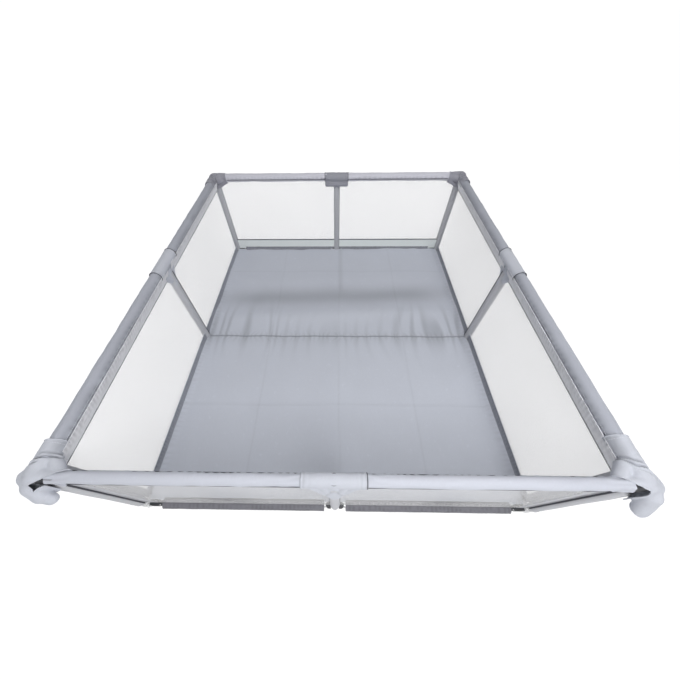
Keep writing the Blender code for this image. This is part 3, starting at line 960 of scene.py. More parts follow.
@dataclass
class RailSleeves:
    """The six padded sleeves over the top tubes, with their seam, piping and puckers."""

    pen: PenFrame
    stitches: StitchRows
    grain: float = 0.0065
    around: int = 44
    side_radius: float = 0.0250
    front_radius: float = 0.0180
    back_radius: float = 0.0258
    bore: float = 0.0134
    boot_bore: float = 0.0150
    seam_turn: float = 1.80
    seam_depth: float = 0.0020
    pucker_pitch: float = 0.021
    boot_room: float = 0.016
    # Painted shade on the inner lower side: side_shade on the side sleeves, end_shade on the end sleeves.
    side_shade: float = 0.62
    end_shade: float = 0.10

    def sleeve(
        self, name: str, start: Array, end: Array, inward: Array, radius: float, thin_start: float
    ) -> dict:
        """Make one sleeve.

        Args:
            name: The piece's name.
            start: The middle of its first end.
            end: The middle of its last end.
            inward: The level direction to the pen's inside.
            radius: Its outer radius.
            thin_start: Length at the start where the wall is thin, around a hinge.

        Returns:
            The piece and the path of its seam.
        """
        length = float(np.linalg.norm(end - start))
        direction = (end - start) / length
        places = spaced(0.0, length, self.grain)
        turn = np.linspace(0.0, FULL_TURN, self.around, endpoint=False)
        centre = start + places[:, None] * direction
        out = np.cos(turn)[:, None] * UP + np.sin(turn)[:, None] * inward
        base = centre[:, None] + out[None] * radius
        s = places[:, None]
        off = (turn[None] - self.seam_turn + math.pi) % (FULL_TURN) - math.pi
        drift = 3.0 * cloud(np.stack([s, s * 0, s * 0], -1) + start, 0.09, 3)
        pucker = np.sin(FULL_TURN * s / self.pucker_pitch + drift) * bell(off - 0.25, 0.55)
        wide_pitch = self.pucker_pitch * 1.37
        pucker += np.sin(FULL_TURN * s / wide_pitch + 2.0 * drift) * bell(off + 0.30, 0.35)
        slack = cloud(base, 0.085, 11) * 0.0015 + cloud(base * (1.0, 1.0, 1.6), 0.034, 12) * 0.0008
        edge = np.minimum(s, length - s)
        drag = np.sin(5.0 * turn[None] + 4.0 * cloud(base, 0.05, 13)) * bell(edge, 0.10)
        groove = bell(off, 0.13)
        change = slack + 0.0011 * pucker + 0.0012 * drag - self.seam_depth * groove
        outer = centre[:, None] + out[None] * (radius + change)[..., None]
        thin = 1.0 - ease(places, thin_start * 0.7, thin_start + 0.001)
        bore = self.bore + (self.boot_bore - self.bore) * thin
        inner = centre[:, None] + out[None] * bore[:, None, None]
        widths = np.linspace(0.0, FULL_TURN * radius, self.around + 1)
        uvs = np.stack(np.meshgrid(places, widths, indexing="ij"), -1)
        # Painted shade: darker along the inner lower side of each sleeve, most on the side rails, in the seam
        # groove and in the hollows of the puckers and drag folds.
        dark = self.side_shade if thin_start == 0.0 else self.end_shade
        shaded = dark * bell(off + 0.45, 0.80) * (0.8 + 0.5 * cloud(base, 0.06, 14))
        painted_shade = np.clip(shaded + 0.75 * groove - 260.0 * (0.0011 * pucker + 0.0010 * drag), 0.0, 1.0)
        piece = ring_piece(name, outer, inner, uvs, painted_shade)
        seam_out = math.cos(self.seam_turn) * UP + math.sin(self.seam_turn) * inward
        return {"piece": piece, "seam": centre + seam_out * (radius + 0.0010)}

    def side(self, name: str, x: float, body: str) -> None:
        """Make a side rail's sleeve, its pale piping and its stitches."""
        pen = self.pen
        reach = pen.rail_y - self.boot_room
        inward = np.array([-math.copysign(1.0, x), 0.0, 0.0])
        ends = [np.array([x, sign * reach, pen.rail_z]) for sign in (-1.0, 1.0)]
        made = self.sleeve(f"{name}_rail_cover", *ends, inward, self.side_radius, 0.0)
        # The side rails get the darker, painted-shade copy of the rail cloth.
        piece = finish_piece(made["piece"], Finish.SHADED_SIDE_RAIL, "padded_cloth")
        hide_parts(f"{name}_rail_sleeve")
        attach(piece, body)
        piping = rod_piece(f"{name}_rail_piping", even_path(made["seam"], 0.01, False), 0.0022)
        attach(finish_piece(piping, Finish.PALE_CORD, "cover_cloth"), body)
        seam_out = math.cos(self.seam_turn - 0.42) * UP + math.sin(self.seam_turn - 0.42) * inward
        row = np.stack([end + seam_out * (self.side_radius + 0.0003) for end in ends])
        self.stitches.add(body, even_path(row, 0.02, False))

    def half(self, corner: Corner) -> None:
        """Make a half wall's sleeve, whose wall is thinner at its end in the boot, with its two dark cords.
        """
        pen = self.pen
        radius = self.front_radius if corner.end == "front" else self.back_radius
        inward = np.array([0.0, corner.way_y, 0.0])
        first = np.array(corner.place(0.0, pen.corner_pin - 0.022, pen.rail_z))
        last = np.array([math.copysign(pen.half_sleeve[0], corner.x), corner.y, pen.rail_z])
        name = f"{corner.end}_{corner.side}"
        made = self.sleeve(f"{name}_rail_cover", first, last, inward, radius, 0.045)
        # The back rails get the lighter, painted-light copy of the rail cloth.
        finish = Finish.RAIL if corner.end == "front" else Finish.LIT_BACK_RAIL
        piece = finish_piece(made["piece"], finish, "padded_cloth")
        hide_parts(f"{name}_rail_sleeve")
        start = corner.place(0.0, pen.corner_pin - 0.020, pen.rail_z)
        end = corner.place(0.0, pen.corner_pin + 0.026, pen.rail_z)
        corner.wall
        corner.half
        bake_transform(piece)
        begin = made["seam"][0] + (made["seam"][-1] - made["seam"][0]) * 0.07
        cord = even_path(np.stack([begin, made["seam"][-1]]), 0.01, False)
        piping = rod_piece(f"{name}_rail_piping", cord, 0.0016)
        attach(finish_piece(piping, Finish.DARK_CORD, "cover_cloth"), corner.half)
        # Painted shadow: a dark cord along the outer lower side of each end rail, standing in for the shadow
        # line under the rail.
        lower = np.array([0.0, -corner.way_y, 0.0]) * math.sin(2.0) + UP * math.cos(2.0)
        edge = np.stack([begin, made["seam"][-1]])
        edge[:, 1:] = (np.array([0.0, corner.y, pen.rail_z]) + lower * (radius + 0.0002))[1:]
        shadow_cord = rod_piece(f"{name}_rail_lower_piping", even_path(edge, 0.01, False), 0.0016)
        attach(finish_piece(shadow_cord, Finish.DARK_CORD, "cover_cloth"), corner.half)

    def build(self) -> None:
        """Make all six sleeves."""
        for side, x in (("left", -self.pen.rail_x), ("right", self.pen.rail_x)):
            self.side(side, x, f"{side}_wall")
        for corner in self.pen.corners():
            self.half(corner)


# ---------------------------------------------------------------- corner boots


@dataclass
class CornerBoots:
    """The cloth boots over the corners, with their folds, toes and hems."""

    pen: PenFrame
    stitches: StitchRows
    grain: float = 0.0023
    wall: float = 0.0016
    hem_radius: float = 0.0017
    along_side: float = 0.130
    hooked_shorter: float = 0.030
    cut: tuple[float, float] = (0.30, 0.28)
    least_of_cut: float = 0.3
    hem_stitch_radius: float = 0.0308

    def limbs(self, corner: Corner) -> list[Limb]:
        """Give the limbs under a boot's skin."""
        z = self.pen.rail_z

        def at(a: float, b: float, drop: float) -> tuple[float, float, float]:
            return corner.place(a, b, z - drop)

        limbs = [
            Limb(at(0.18, -0.002, 0.0), 0.0300, at(0.05, -0.004, 0.0), 0.0310),
            Limb(at(0.05, -0.004, 0.0), 0.0310, at(0.0, -0.006, 0.0), 0.0300),
            Limb(at(0.0, 0.0, 0.0), 0.0290, at(0.0, 0.0, 0.15), 0.0270),
        ]
        if corner.toe is Toe.TUCKED:
            return limbs + [
                Limb(at(0.0, 0.0, 0.0), 0.0300, at(0.0, 0.15, 0.0), 0.0292),
                Limb(at(0.0, 0.010, 0.018), 0.0250, at(0.0, 0.075, 0.012), 0.0270),
                Limb(at(0.0, 0.010, 0.050), 0.0210, at(0.0, 0.062, 0.020), 0.0240),
                Limb(at(0.050, 0.008, 0.002), 0.0235, at(0.008, 0.052, 0.002), 0.0235),
            ]
        limbs += [
            Limb(at(0.0, -0.004, 0.0), 0.0290, at(0.002, 0.030, 0.0), 0.0212),
            Limb(at(0.002, 0.030, 0.0), 0.0212, at(0.0, 0.14, 0.0), 0.0190),
            Limb(at(0.060, 0.009, 0.001), 0.0215, at(0.010, 0.058, 0.001), 0.0190),
            Limb(at(0.048, -0.010, 0.003), 0.0235, at(-0.002, -0.030, 0.005), 0.0250),
        ]
        if corner.toe is Toe.STRAIGHT:
            return limbs + [
                Limb(at(0.0, -0.020, 0.004), 0.0280, at(-0.026, -0.024, 0.020), 0.0255),
                Limb(at(-0.026, -0.024, 0.020), 0.0255, at(-0.052, -0.024, 0.075), 0.0215),
            ]
        return limbs + [
            Limb(at(0.0, -0.014, 0.004), 0.0280, at(-0.022, -0.020, 0.020), 0.0260),
            Limb(at(-0.022, -0.020, 0.020), 0.0260, at(-0.042, -0.004, 0.052), 0.0215),
            Limb(at(-0.040, -0.010, 0.048), 0.0205, at(-0.048, 0.020, 0.066), 0.0165),
        ]

    def reach(self, corner: Corner) -> float:
        """Give how far a boot runs along the side rail."""
        return self.along_side - (self.hooked_shorter if corner.toe is Toe.HOOKED else 0.0)

    def stays(self, corner: Corner, points: Array) -> Array:
        """Tell where a boot's cloth is, and where its three openings cut it off."""
        a, b, drop = self.measures(corner, points)
        side = self.reach(corner) + 0.10 * b - a
        if corner.toe is Toe.TUCKED:
            return np.minimum(np.minimum(side, 0.078 + 0.20 * a - b), 0.062 - drop)
        if corner.toe is Toe.STRAIGHT:
            arm = (0.050 + 1.7 * (a - 0.007) - b) / 2.0
            toe = np.minimum(-0.0205 - a, 0.004 - b)
        else:
            arm = (0.044 + 1.9 * (a + 0.002) - b) / 2.1
            toe = np.minimum(np.minimum(-0.0205 - a, 0.055 - b), np.maximum(drop - 0.014, -b))
        return np.minimum(np.minimum(side, np.maximum(arm, toe)), 0.082 - drop)

    def measures(self, corner: Corner, points: Array) -> tuple[Array, Array, Array]:
        """Give the distances of points along the side wall, along the end wall and below the rail's axis."""
        a = (points[:, 1] - corner.y) * corner.way_y
        b = (points[:, 0] - corner.x) * corner.way_x
        return a, b, self.pen.rail_z - points[:, 2]

    def fold_depth(self, corner: Corner, points: Array) -> Array:
        """Give how far each point is drawn in by the folds, whose corner side laps over their rail side."""
        a, b, drop = self.measures(corner, points)
        wander = 0.0022 * cloud(points, 0.022, 21)
        folds = {
            Toe.STRAIGHT: (
                ((0.021, 0.035, 0.043, 0.063), 1.1, -0.075, 0.050),
                ((0.032, 0.047, 0.058, 0.071), 0.8, -0.022, 0.050),
                ((0.010, 0.022, 0.033, 0.056), 0.5, -0.036, 0.024),
            ),
            Toe.HOOKED: (
                ((0.018, 0.040, 0.046, 0.048), 1.4, -0.036, 0.050),
                ((0.006, 0.026, 0.036, 0.043), 1.1, -0.075, 0.006),
                ((0.042, 0.054, 0.060, 0.060), 0.5, -0.020, 0.050),
            ),
            Toe.TUCKED: (
                ((0.040, 0.048, 0.060, 0.072), 0.8, -0.040, 0.040),
                ((0.016, 0.026, 0.038, 0.058), 0.9, -0.040, 0.040),
                ((0.090, 0.084, 0.090, 0.100), 0.5, -0.030, 0.030),
            ),
        }[corner.toe]
        depth = np.zeros(len(points))
        upper = 1.0 - ease(drop, 0.010, 0.030)
        for line, much, low, high in folds:
            off = a - np.interp(b, (-0.045, -0.016, 0.010, 0.031), line) - wander
            span = ease(b, low, low + 0.015) * (1.0 - ease(b, high - 0.015, high)) * upper * much
            lap = ease(-off, -0.0005, 0.0020) * np.exp(-np.maximum(-off, 0.0) / 0.014)
            depth += span * (0.0046 * bell(off - 0.0032, 0.0036) - 0.0026 * lap)
        return depth

    def crumple(self, corner: Corner, points: Array) -> Array:
        """Give small random dents of slack cloth, deeper on the tucked boots at the back."""
        ridge = 1.0 - np.abs(cloud(points, 0.026, 31 + len(corner.side)))
        much = 0.0030 if corner.toe is Toe.TUCKED else 0.0008
        return much * (ridge**3 - 0.35) + 0.0010 * cloud(points, 0.055, 33)

    def boot(self, corner: Corner) -> None:
        """Make one boot with its hems and stitches."""
        name = f"{corner.side}_{corner.end}_boot"
        skin = sewn_shape(name + "_skin", self.limbs(corner), self.grain, 14)
        points, normals = skin_points(skin)
        folds = self.fold_depth(corner, points)
        dents = self.crumple(corner, points)
        moved = points - normals * (folds + dents)[:, None]
        move_points(skin, moved)
        a, b, _ = self.measures(corner, points)
        # Painted shade: darker on the boot's inner side along the side rail, in its folds and in the hollows
        # of its dents.
        painted_inner_shade = 0.50 * ease(b, 0.002, 0.022) * ease(a, 0.035, 0.085)
        shaded = np.clip(folds * 300.0, 0.0, 1.0) + np.clip(dents * 120.0, 0.0, 0.5)
        store_painted_shade(skin.data, shaded + painted_inner_shade)
        trim(skin, self.stays(corner, moved))
        rims = rim_paths(skin)
        # The back boots get the darker, painted-shade copy of the boot cloth.
        finish = Finish.SHADED_BACK_BOOT if corner.toe is Toe.TUCKED else Finish.BOOT
        boot = finish_piece(with_wall(f"{name}_cloth", skin, self.wall), finish, "cover_cloth")
        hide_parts(name)
        area = cloth_area(boot, self.cut, self.least_of_cut)
        start = corner.place(0.0, self.pen.corner_pin - 0.026, 0.0)
        end = corner.place(0.0, self.pen.corner_pin + 0.022, 0.0)
        corner.wall
        corner.half
        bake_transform(boot)
        for number, rim in enumerate(sorted(rims, key=lambda p: tuple(p.mean(0).round(4)))):
            hem = rod_piece(f"{name}_hem_{number}", even_path(rim, 0.004, True), self.hem_radius, 7)
            finish_piece(hem, finish, "cover_cloth")
            corner.wall
            corner.half
            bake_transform(hem)
        self.sew_hem(corner)

    def sew_hem(self, corner: Corner) -> None:
        """Add a row of stitches round the hem on the side rail."""
        turn = np.linspace(0.0, FULL_TURN, 40)
        across = corner.x - corner.way_x * 0.0025 + self.hem_stitch_radius * np.sin(turn)
        along = np.full(40, corner.y + corner.way_y * (self.reach(corner) - 0.009))
        ring = np.stack([across, along, self.pen.rail_z + self.hem_stitch_radius * np.cos(turn)], -1)
        self.stitches.add(corner.wall, even_path(ring, 0.006, False))

    def build(self) -> None:
        """Make the four boots."""
        for corner in self.pen.corners():
            self.boot(corner)


# ---------------------------------------------------------------- centre covers


@dataclass
class CentreCovers:
    """The cloth covers over the middle of each rail, which narrow down to the middle leg."""

    pen: PenFrame
    grain: float = 0.0030
    wall: float = 0.0016
    hem_radius: float = 0.0016
    tuck: float = 0.30
    back_share: float = 0.86
    cut_length: float = 0.42
    least_of_cut: float = 0.3
    radii: dict[str, float] = field(default_factory=lambda: {"front": 0.0222, "back": 0.0290})
    side_radius: float = 0.0286
    flaps: dict[str, float] = field(default_factory=lambda: {"front": 0.20, "back": 0.055})
    side_flap: float = 0.10
    hem_sizes: dict[str, float] = field(default_factory=lambda: {"front": 0.0212, "back": 0.0283})
    side_hem: float = 0.0284

    def reach(self, end: str) -> float:
        """Give half the length of the cover over the middle of one wall."""
        return self.pen.cover_half * (self.back_share if end == "back" else 1.0)

    def limbs(self, centre: Array, along: Array, outward: Array, end: str) -> list[Limb]:
        """Give the limbs under a cover's skin: the rail part, and a tapered flap down to the leg."""
        reach = self.reach(end)
        radius = self.radii.get(end, self.side_radius)
        flap = self.flaps.get(end, self.side_flap)

        def at(s: float, out: float, drop: float) -> tuple[float, float, float]:
            return tuple(centre + along * s + outward * out - UP * drop)

        limbs = [Limb(at(-reach - 0.05, 0.0, 0.0), radius, at(reach + 0.05, 0.0, 0.0), radius)]
        low = at(0.0, 0.003, flap)
        edge = reach * (0.80 if end in ("front", "left", "right") else 0.62)
        for s in (-edge, -edge / 2, 0.0, edge / 2, edge):
            limbs.append(Limb(at(s, 0.006, 0.010), 0.0135 if end == "front" else 0.0165, low, 0.0215))
        if end == "back":
            for s in (-0.066, 0.0):
                limbs.append(Limb(at(s, -0.004, 0.040), 0.0235, at(s + 0.066, -0.004, 0.040), 0.0235))
        limbs.append(Limb(at(0.0, 0.0, 0.02), 0.0200, at(0.0, 0.0, flap + 0.06), 0.0218))
        return limbs

    def cover(self, end: str, centre: Array, along: Array, outward: Array) -> bpy.types.Object:
        """Make a cover's skin, cut open at both ends and at the leg, with its folds."""
        reach = self.reach(end)
        flap = self.flaps.get(end, self.side_flap)
        skin = sewn_shape(f"{end}_cover_skin", self.limbs(centre, along, outward, end), self.grain, 12)
        low = Vector(centre - UP * (flap - 0.004 if end == "front" else flap + 0.022))
        planes = [
            (Vector(centre + along * reach), Vector(along)),
            (Vector(centre - along * reach), Vector(-along)),
            (low, Vector((0.0, 0.0, -1.0))),
        ]
        cut_open(skin, planes)
        points, normals = skin_points(skin)
        s = (points - centre) @ along
        drop = centre[2] - points[:, 2]
        ends = bell(np.abs(s) - reach, 0.022)
        gather = np.sin(s * 420.0 + 3.0 * cloud(points, 0.02, 41)) * ends * 0.0008
        pull = 0.0016 * bell(s - 0.35 * drop * np.sign(s) + 0.02 * np.sign(s), 0.006) * ease(drop, 0.0, 0.03)
        slack = 0.0010 * cloud(points, 0.035, 42) + 0.0007 * cloud(points, 0.015, 43)
        change = gather + pull + slack
        move_points(skin, points - normals * change[:, None])
        skin.data.update()
        # Painted shade in the pulled folds and in the gathers at the ends.
        store_painted_shade(skin.data, np.clip(pull * 300.0, 0.0, 1.0) + np.clip(gather * 500.0, 0.0, 0.6))
        return skin

    def halved(
        self, skin: bpy.types.Object, centre: Array, along: Array
    ) -> list[tuple[str, bpy.types.Object]]:
        """Split a skin down its middle into a left and a right half."""
        parts = []
        for side, way in (("left", 1.0), ("right", -1.0)):
            part = as_object(f"{skin.name}_{side}", skin.data.copy())
            cut_open(part, [(Vector(centre), Vector(along) * way)])
            parts.append((side, part))
        drop(skin)
        return parts

    def finish(self, name: str, skin: bpy.types.Object, replaced: str) -> bpy.types.Object:
        """Give a cover its wall and its finish."""
        # The back cover halves get the darker, painted-shade copy of the cover cloth.
        finish = Finish.SHADED_BACK_COVER if name.startswith("back") else Finish.COVER
        piece = finish_piece(with_wall(name, skin, self.wall), finish, "cover_cloth")
        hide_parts(replaced)
        end = name.split("_")[0]
        width = self.reach(end) * (1.0 if end in ("front", "back") else 2.0)
        flat = (width, self.cut_length)
        area = cloth_area(piece, flat, self.least_of_cut)
        return piece

    def hem(self, name: str, centre: Array, along: Array, s: float, radius: float) -> bpy.types.Object:
        """Make the rolled hem round one end of a cover; its dark colour is painted shade for the shadowed gap
        in the open end, and the front left hem is grey.
        """
        side = np.cross(along, UP)
        turn = np.linspace(0.0, FULL_TURN, 49)
        ring = centre + along * s + radius * (np.sin(turn)[:, None] * side + np.cos(turn)[:, None] * UP)
        # The hem is sewn cloth; its dark colour is painted shade for the shadowed gap at the cover's open
        # end.
        finish = Finish.GATHER if name.startswith("front_left") else Finish.DARK_CORD
        return finish_piece(rod_piece(name, ring, self.hem_radius, 7), finish, "cover_cloth")

    def build(self) -> None:
        """Make the four covers."""
        pen = self.pen
        for end, sign in (("front", -1.0), ("back", 1.0)):
            reach = self.reach(end)
            centre = np.array([0.0, sign * pen.rail_y, pen.rail_z])
            along = np.array([1.0, 0.0, 0.0])
            skin = self.cover(end, centre, along, np.array([0.0, sign, 0.0]))
            for side, part in self.halved(skin, centre, along):
                piece = self.finish(f"{end}_{side}_centre_cover", part, f"{end}_centre_cover")
                way = -1.0 if side == "left" else 1.0
                hem = self.hem(f"{end}_{side}_cover_hem", centre, along, way * reach, self.hem_sizes[end])
                for sewn in (piece, hem):
                    self.bend(sewn, end, side, way)
        for side, sign in (("left", -1.0), ("right", 1.0)):
            reach = self.reach(side)
            centre = np.array([sign * pen.rail_x, 0.0, pen.rail_z])
            along = np.array([0.0, 1.0, 0.0])
            skin = self.cover(side, centre, along, np.array([sign, 0.0, 0.0]))
            piece = self.finish(f"{side}_centre_cover_cloth", skin, f"{side}_centre_cover")
            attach(piece, f"{side}_wall")
            for number, way in enumerate((-1.0, 1.0)):
                hem = self.hem(f"{side}_cover_hem_{number}", centre, along, way * reach, self.side_hem)
                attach(hem, f"{side}_wall")

    def bend(self, piece: bpy.types.Object, end: str, side: str, way: float) -> None:
        """Place half a cover and its hem.

        At the open pivot no joint joins the two, so the back right half rides on the back middle leg; the
        other halves keep their place.
        """
        pen = self.pen
        if (end, side) == ("back", "right"):
            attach(piece, "back_centre")
            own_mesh(piece)
            return
        y = -pen.rail_y if end == "front" else pen.rail_y
        start = (way * (pen.middle_pin - 0.022), y, 0.0)
        finish = (way * (pen.middle_pin + 0.024), y, 0.0)
        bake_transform(piece)


# ---------------------------------------------------------------- legs


@dataclass
class LegSleeves:
    """The cloth sleeves over the eight legs, with dark piping and the strips that close the walls."""

    pen: PenFrame
    radius: float = 0.0208
    bore: float = 0.0134
    grain: float = 0.008
    around: int = 32
    gusset: float = 0.055

    def sleeve(
        self, name: str, x: float, y: float, high: float, seam: float
    ) -> tuple[bpy.types.Object, Array]:
        """Make one leg's sleeve, which hides the foot except at the front, and give its seam's path."""
        low = self.pen.foot_high + 0.001 if y < -0.5 * self.pen.rail_y else 0.0045
        places = spaced(low, high, self.grain)
        turn = np.linspace(0.0, FULL_TURN, self.around, endpoint=False)
        out = np.stack([np.cos(turn), np.sin(turn), np.zeros(self.around)], -1)
        centre = np.stack([np.full(len(places), x), np.full(len(places), y), places], -1)
        base = centre[:, None] + out[None] * self.radius
        off = (turn[None] - seam + math.pi) % (FULL_TURN) - math.pi
        sag = 0.0007 * cloud(base * (1.0, 1.0, 0.5), 0.03, 51) + 0.0007 * cloud(base, 0.09, 52)
        low_slack = 0.0010 * np.sin(FULL_TURN * places[:, None] / 0.016 + 3.0 * cloud(base, 0.03, 53))
        low_slack = low_slack * bell(places[:, None] - low, 0.07)
        change = sag + low_slack - 0.0014 * bell(off, 0.16)
        outer = centre[:, None] + out[None] * (self.radius + change)[..., None]
        over_foot = 1.0 - ease(places, self.pen.foot_high, self.pen.foot_high + 0.006)
        bore = self.bore + (self.pen.foot_radius + 0.0003 - self.bore) * over_foot
        inner = centre[:, None] + out[None] * bore[:, None, None]
        widths = np.linspace(0.0, FULL_TURN * self.radius, self.around + 1)
        uvs = np.stack(np.meshgrid(places, widths, indexing="ij"), -1)
        # Painted shade along the seam and in the hollows of the slack folds at the bottom.
        painted_shade = np.clip(0.6 * bell(off, 0.2) - 260.0 * low_slack, 0.0, 1.0)
        piece = finish_piece(ring_piece(name, outer, inner, uvs, painted_shade), Finish.LEG, "padded_cloth")
        seam_out = np.array([math.cos(seam), math.sin(seam), 0.0])
        return piece, centre + seam_out * (self.radius - 0.0002)

    def strip(
        self, name: str, first: tuple, second: tuple, normal: Array, finish: Finish
    ) -> bpy.types.Object:
        """Make the upright strip that closes the wall beside a leg."""
        pen = self.pen
        low, high = pen.low_z + pen.low_radius + 0.001, pen.rail_z - 0.016
        up = spaced(low, high, 0.012)
        over = np.linspace(0.0, 1.0, 9)
        start, end = np.array(first), np.array(second)
        flat = start + over[None, :, None] * (end - start)
        middle = flat + up[:, None, None] * UP
        much = 0.0 if finish is Finish.NET else 1.0
        pucker = 0.0006 * np.sin(up * 190.0)[:, None] * bell(over - 1.0, 0.5)
        wave = much * (0.0008 * cloud(middle, 0.03, 55) + pucker)
        middle = middle + wave[..., None] * normal
        # Painted shade on one side of each pucker and soft wave of the strip.
        piece = sheet_piece(name, middle, normal, 0.0008 + 0.0006 * much, np.clip(wave * 700.0, 0.0, 0.6))
        finish_piece(piece, finish, "mesh_cloth" if finish is Finish.NET else "padded_cloth")
        return piece

    def piping(self, name: str, path: Array, body: str) -> None:
        """Make the dark piping down a leg's sleeve."""
        cord = rod_piece(name, even_path(path, 0.012, False), 0.0028, 7)
        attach(finish_piece(cord, Finish.DARK_CORD, "cover_cloth"), body)

    def band_end(
        self, name: str, corner: Corner, first: float, last: float
    ) -> None:
        """Carry the back wall's lower band and its piping on to the corner leg."""
        pen = self.pen
        low = pen.low_z + pen.low_radius + 0.001
        over = np.linspace(first, last, 9)
        up = spaced(low - 0.004, low + 0.088, 0.010)
        depth = corner.y + corner.way_y * 0.0045
        xs = corner.x + corner.way_x * over
        middle = np.stack(np.broadcast_arrays(xs[:, None], depth, up[None]), -1)
        band = sheet_piece(f"{name}_band_end", middle, np.array([0.0, corner.way_y, 0.0]), 0.0012)
        finish_piece(band, Finish.BAND, "cover_cloth")
        round(last - first, 4)
        path = np.stack([xs, np.full(9, corner.y + corner.way_y * 0.0055), np.full(9, low + 0.088)], -1)
        cord = rod_piece(f"{name}_band_end_piping", path, 0.0034, 7)
        finish_piece(cord, Finish.DARK_CORD, "cover_cloth")
        for piece in (band, cord):
            corner.wall
            corner.half
            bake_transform(piece)

    def build(self) -> None:
        """Make the sleeves, pipings and strips of all eight legs."""
        pen = self.pen
        net_start = pen.rail_x - pen.half_sleeve[1]
        inset = self.radius - 0.0005
        for corner in pen.corners():
            name = f"{corner.side}_{corner.end}"
            turn = {"front": -0.35, "back": 0.30}[corner.end]
            seam = turn if corner.side == "left" else math.pi - turn
            high = pen.rail_z - (0.060 if corner.end == "front" else 0.045)
            piece, path = self.sleeve(f"{name}_leg_cover", corner.x, corner.y, high, seam)
            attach(piece, corner.wall)
            self.piping(f"{name}_leg_piping", path, corner.wall)
            first, second = corner.place(inset, 0.0, 0.0), corner.place(0.0495, 0.0, 0.0)
            side = self.strip(f"{name}_side_strip", first, second, np.array([1.0, 0.0, 0.0]), Finish.LEG)
            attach(side, corner.wall)
            start = corner.place(0.0, pen.corner_pin - 0.024, 0.0)
            end = corner.place(0.0, pen.corner_pin + 0.020, 0.0)
            edges = [inset, net_start + 0.001]
            finishes = [Finish.NET]
            if corner.end == "front":
                edges.insert(1, self.gusset)
                finishes = [Finish.LEG, Finish.NET]
            if corner.end == "back":
                self.band_end(name, corner, inset, net_start + 0.001)
            for number, finish in enumerate(finishes):
                first, second = (corner.place(0.0, edge, 0.0) for edge in edges[number : number + 2])
                across = np.array([0.0, 1.0, 0.0])
                strip = self.strip(f"{name}_end_strip_{number}", first, second, across, finish)
                corner.wall
                corner.half
                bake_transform(strip)
        for side, sign in (("left", -1.0), ("right", 1.0)):
            seam = 0.60 if side == "left" else math.pi - 0.60
            high = pen.rail_z - 0.050
            piece, path = self.sleeve(f"{side}_centre_leg_cover", sign * pen.rail_x, 0.0, high, seam)
            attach(piece, f"{side}_wall")
            self.piping(f"{side}_centre_leg_piping", path, f"{side}_wall")
        for end, sign in (("front", -1.0), ("back", 1.0)):
            high = pen.rail_z - 0.062
            piece, path = self.sleeve(f"{end}_centre_leg_cover", 0.0, sign * pen.rail_y, high, 0.2)
            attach(piece, f"{end}_centre")
            self.piping(f"{end}_centre_leg_piping", path, f"{end}_centre")


# ---------------------------------------------------------------- mesh walls


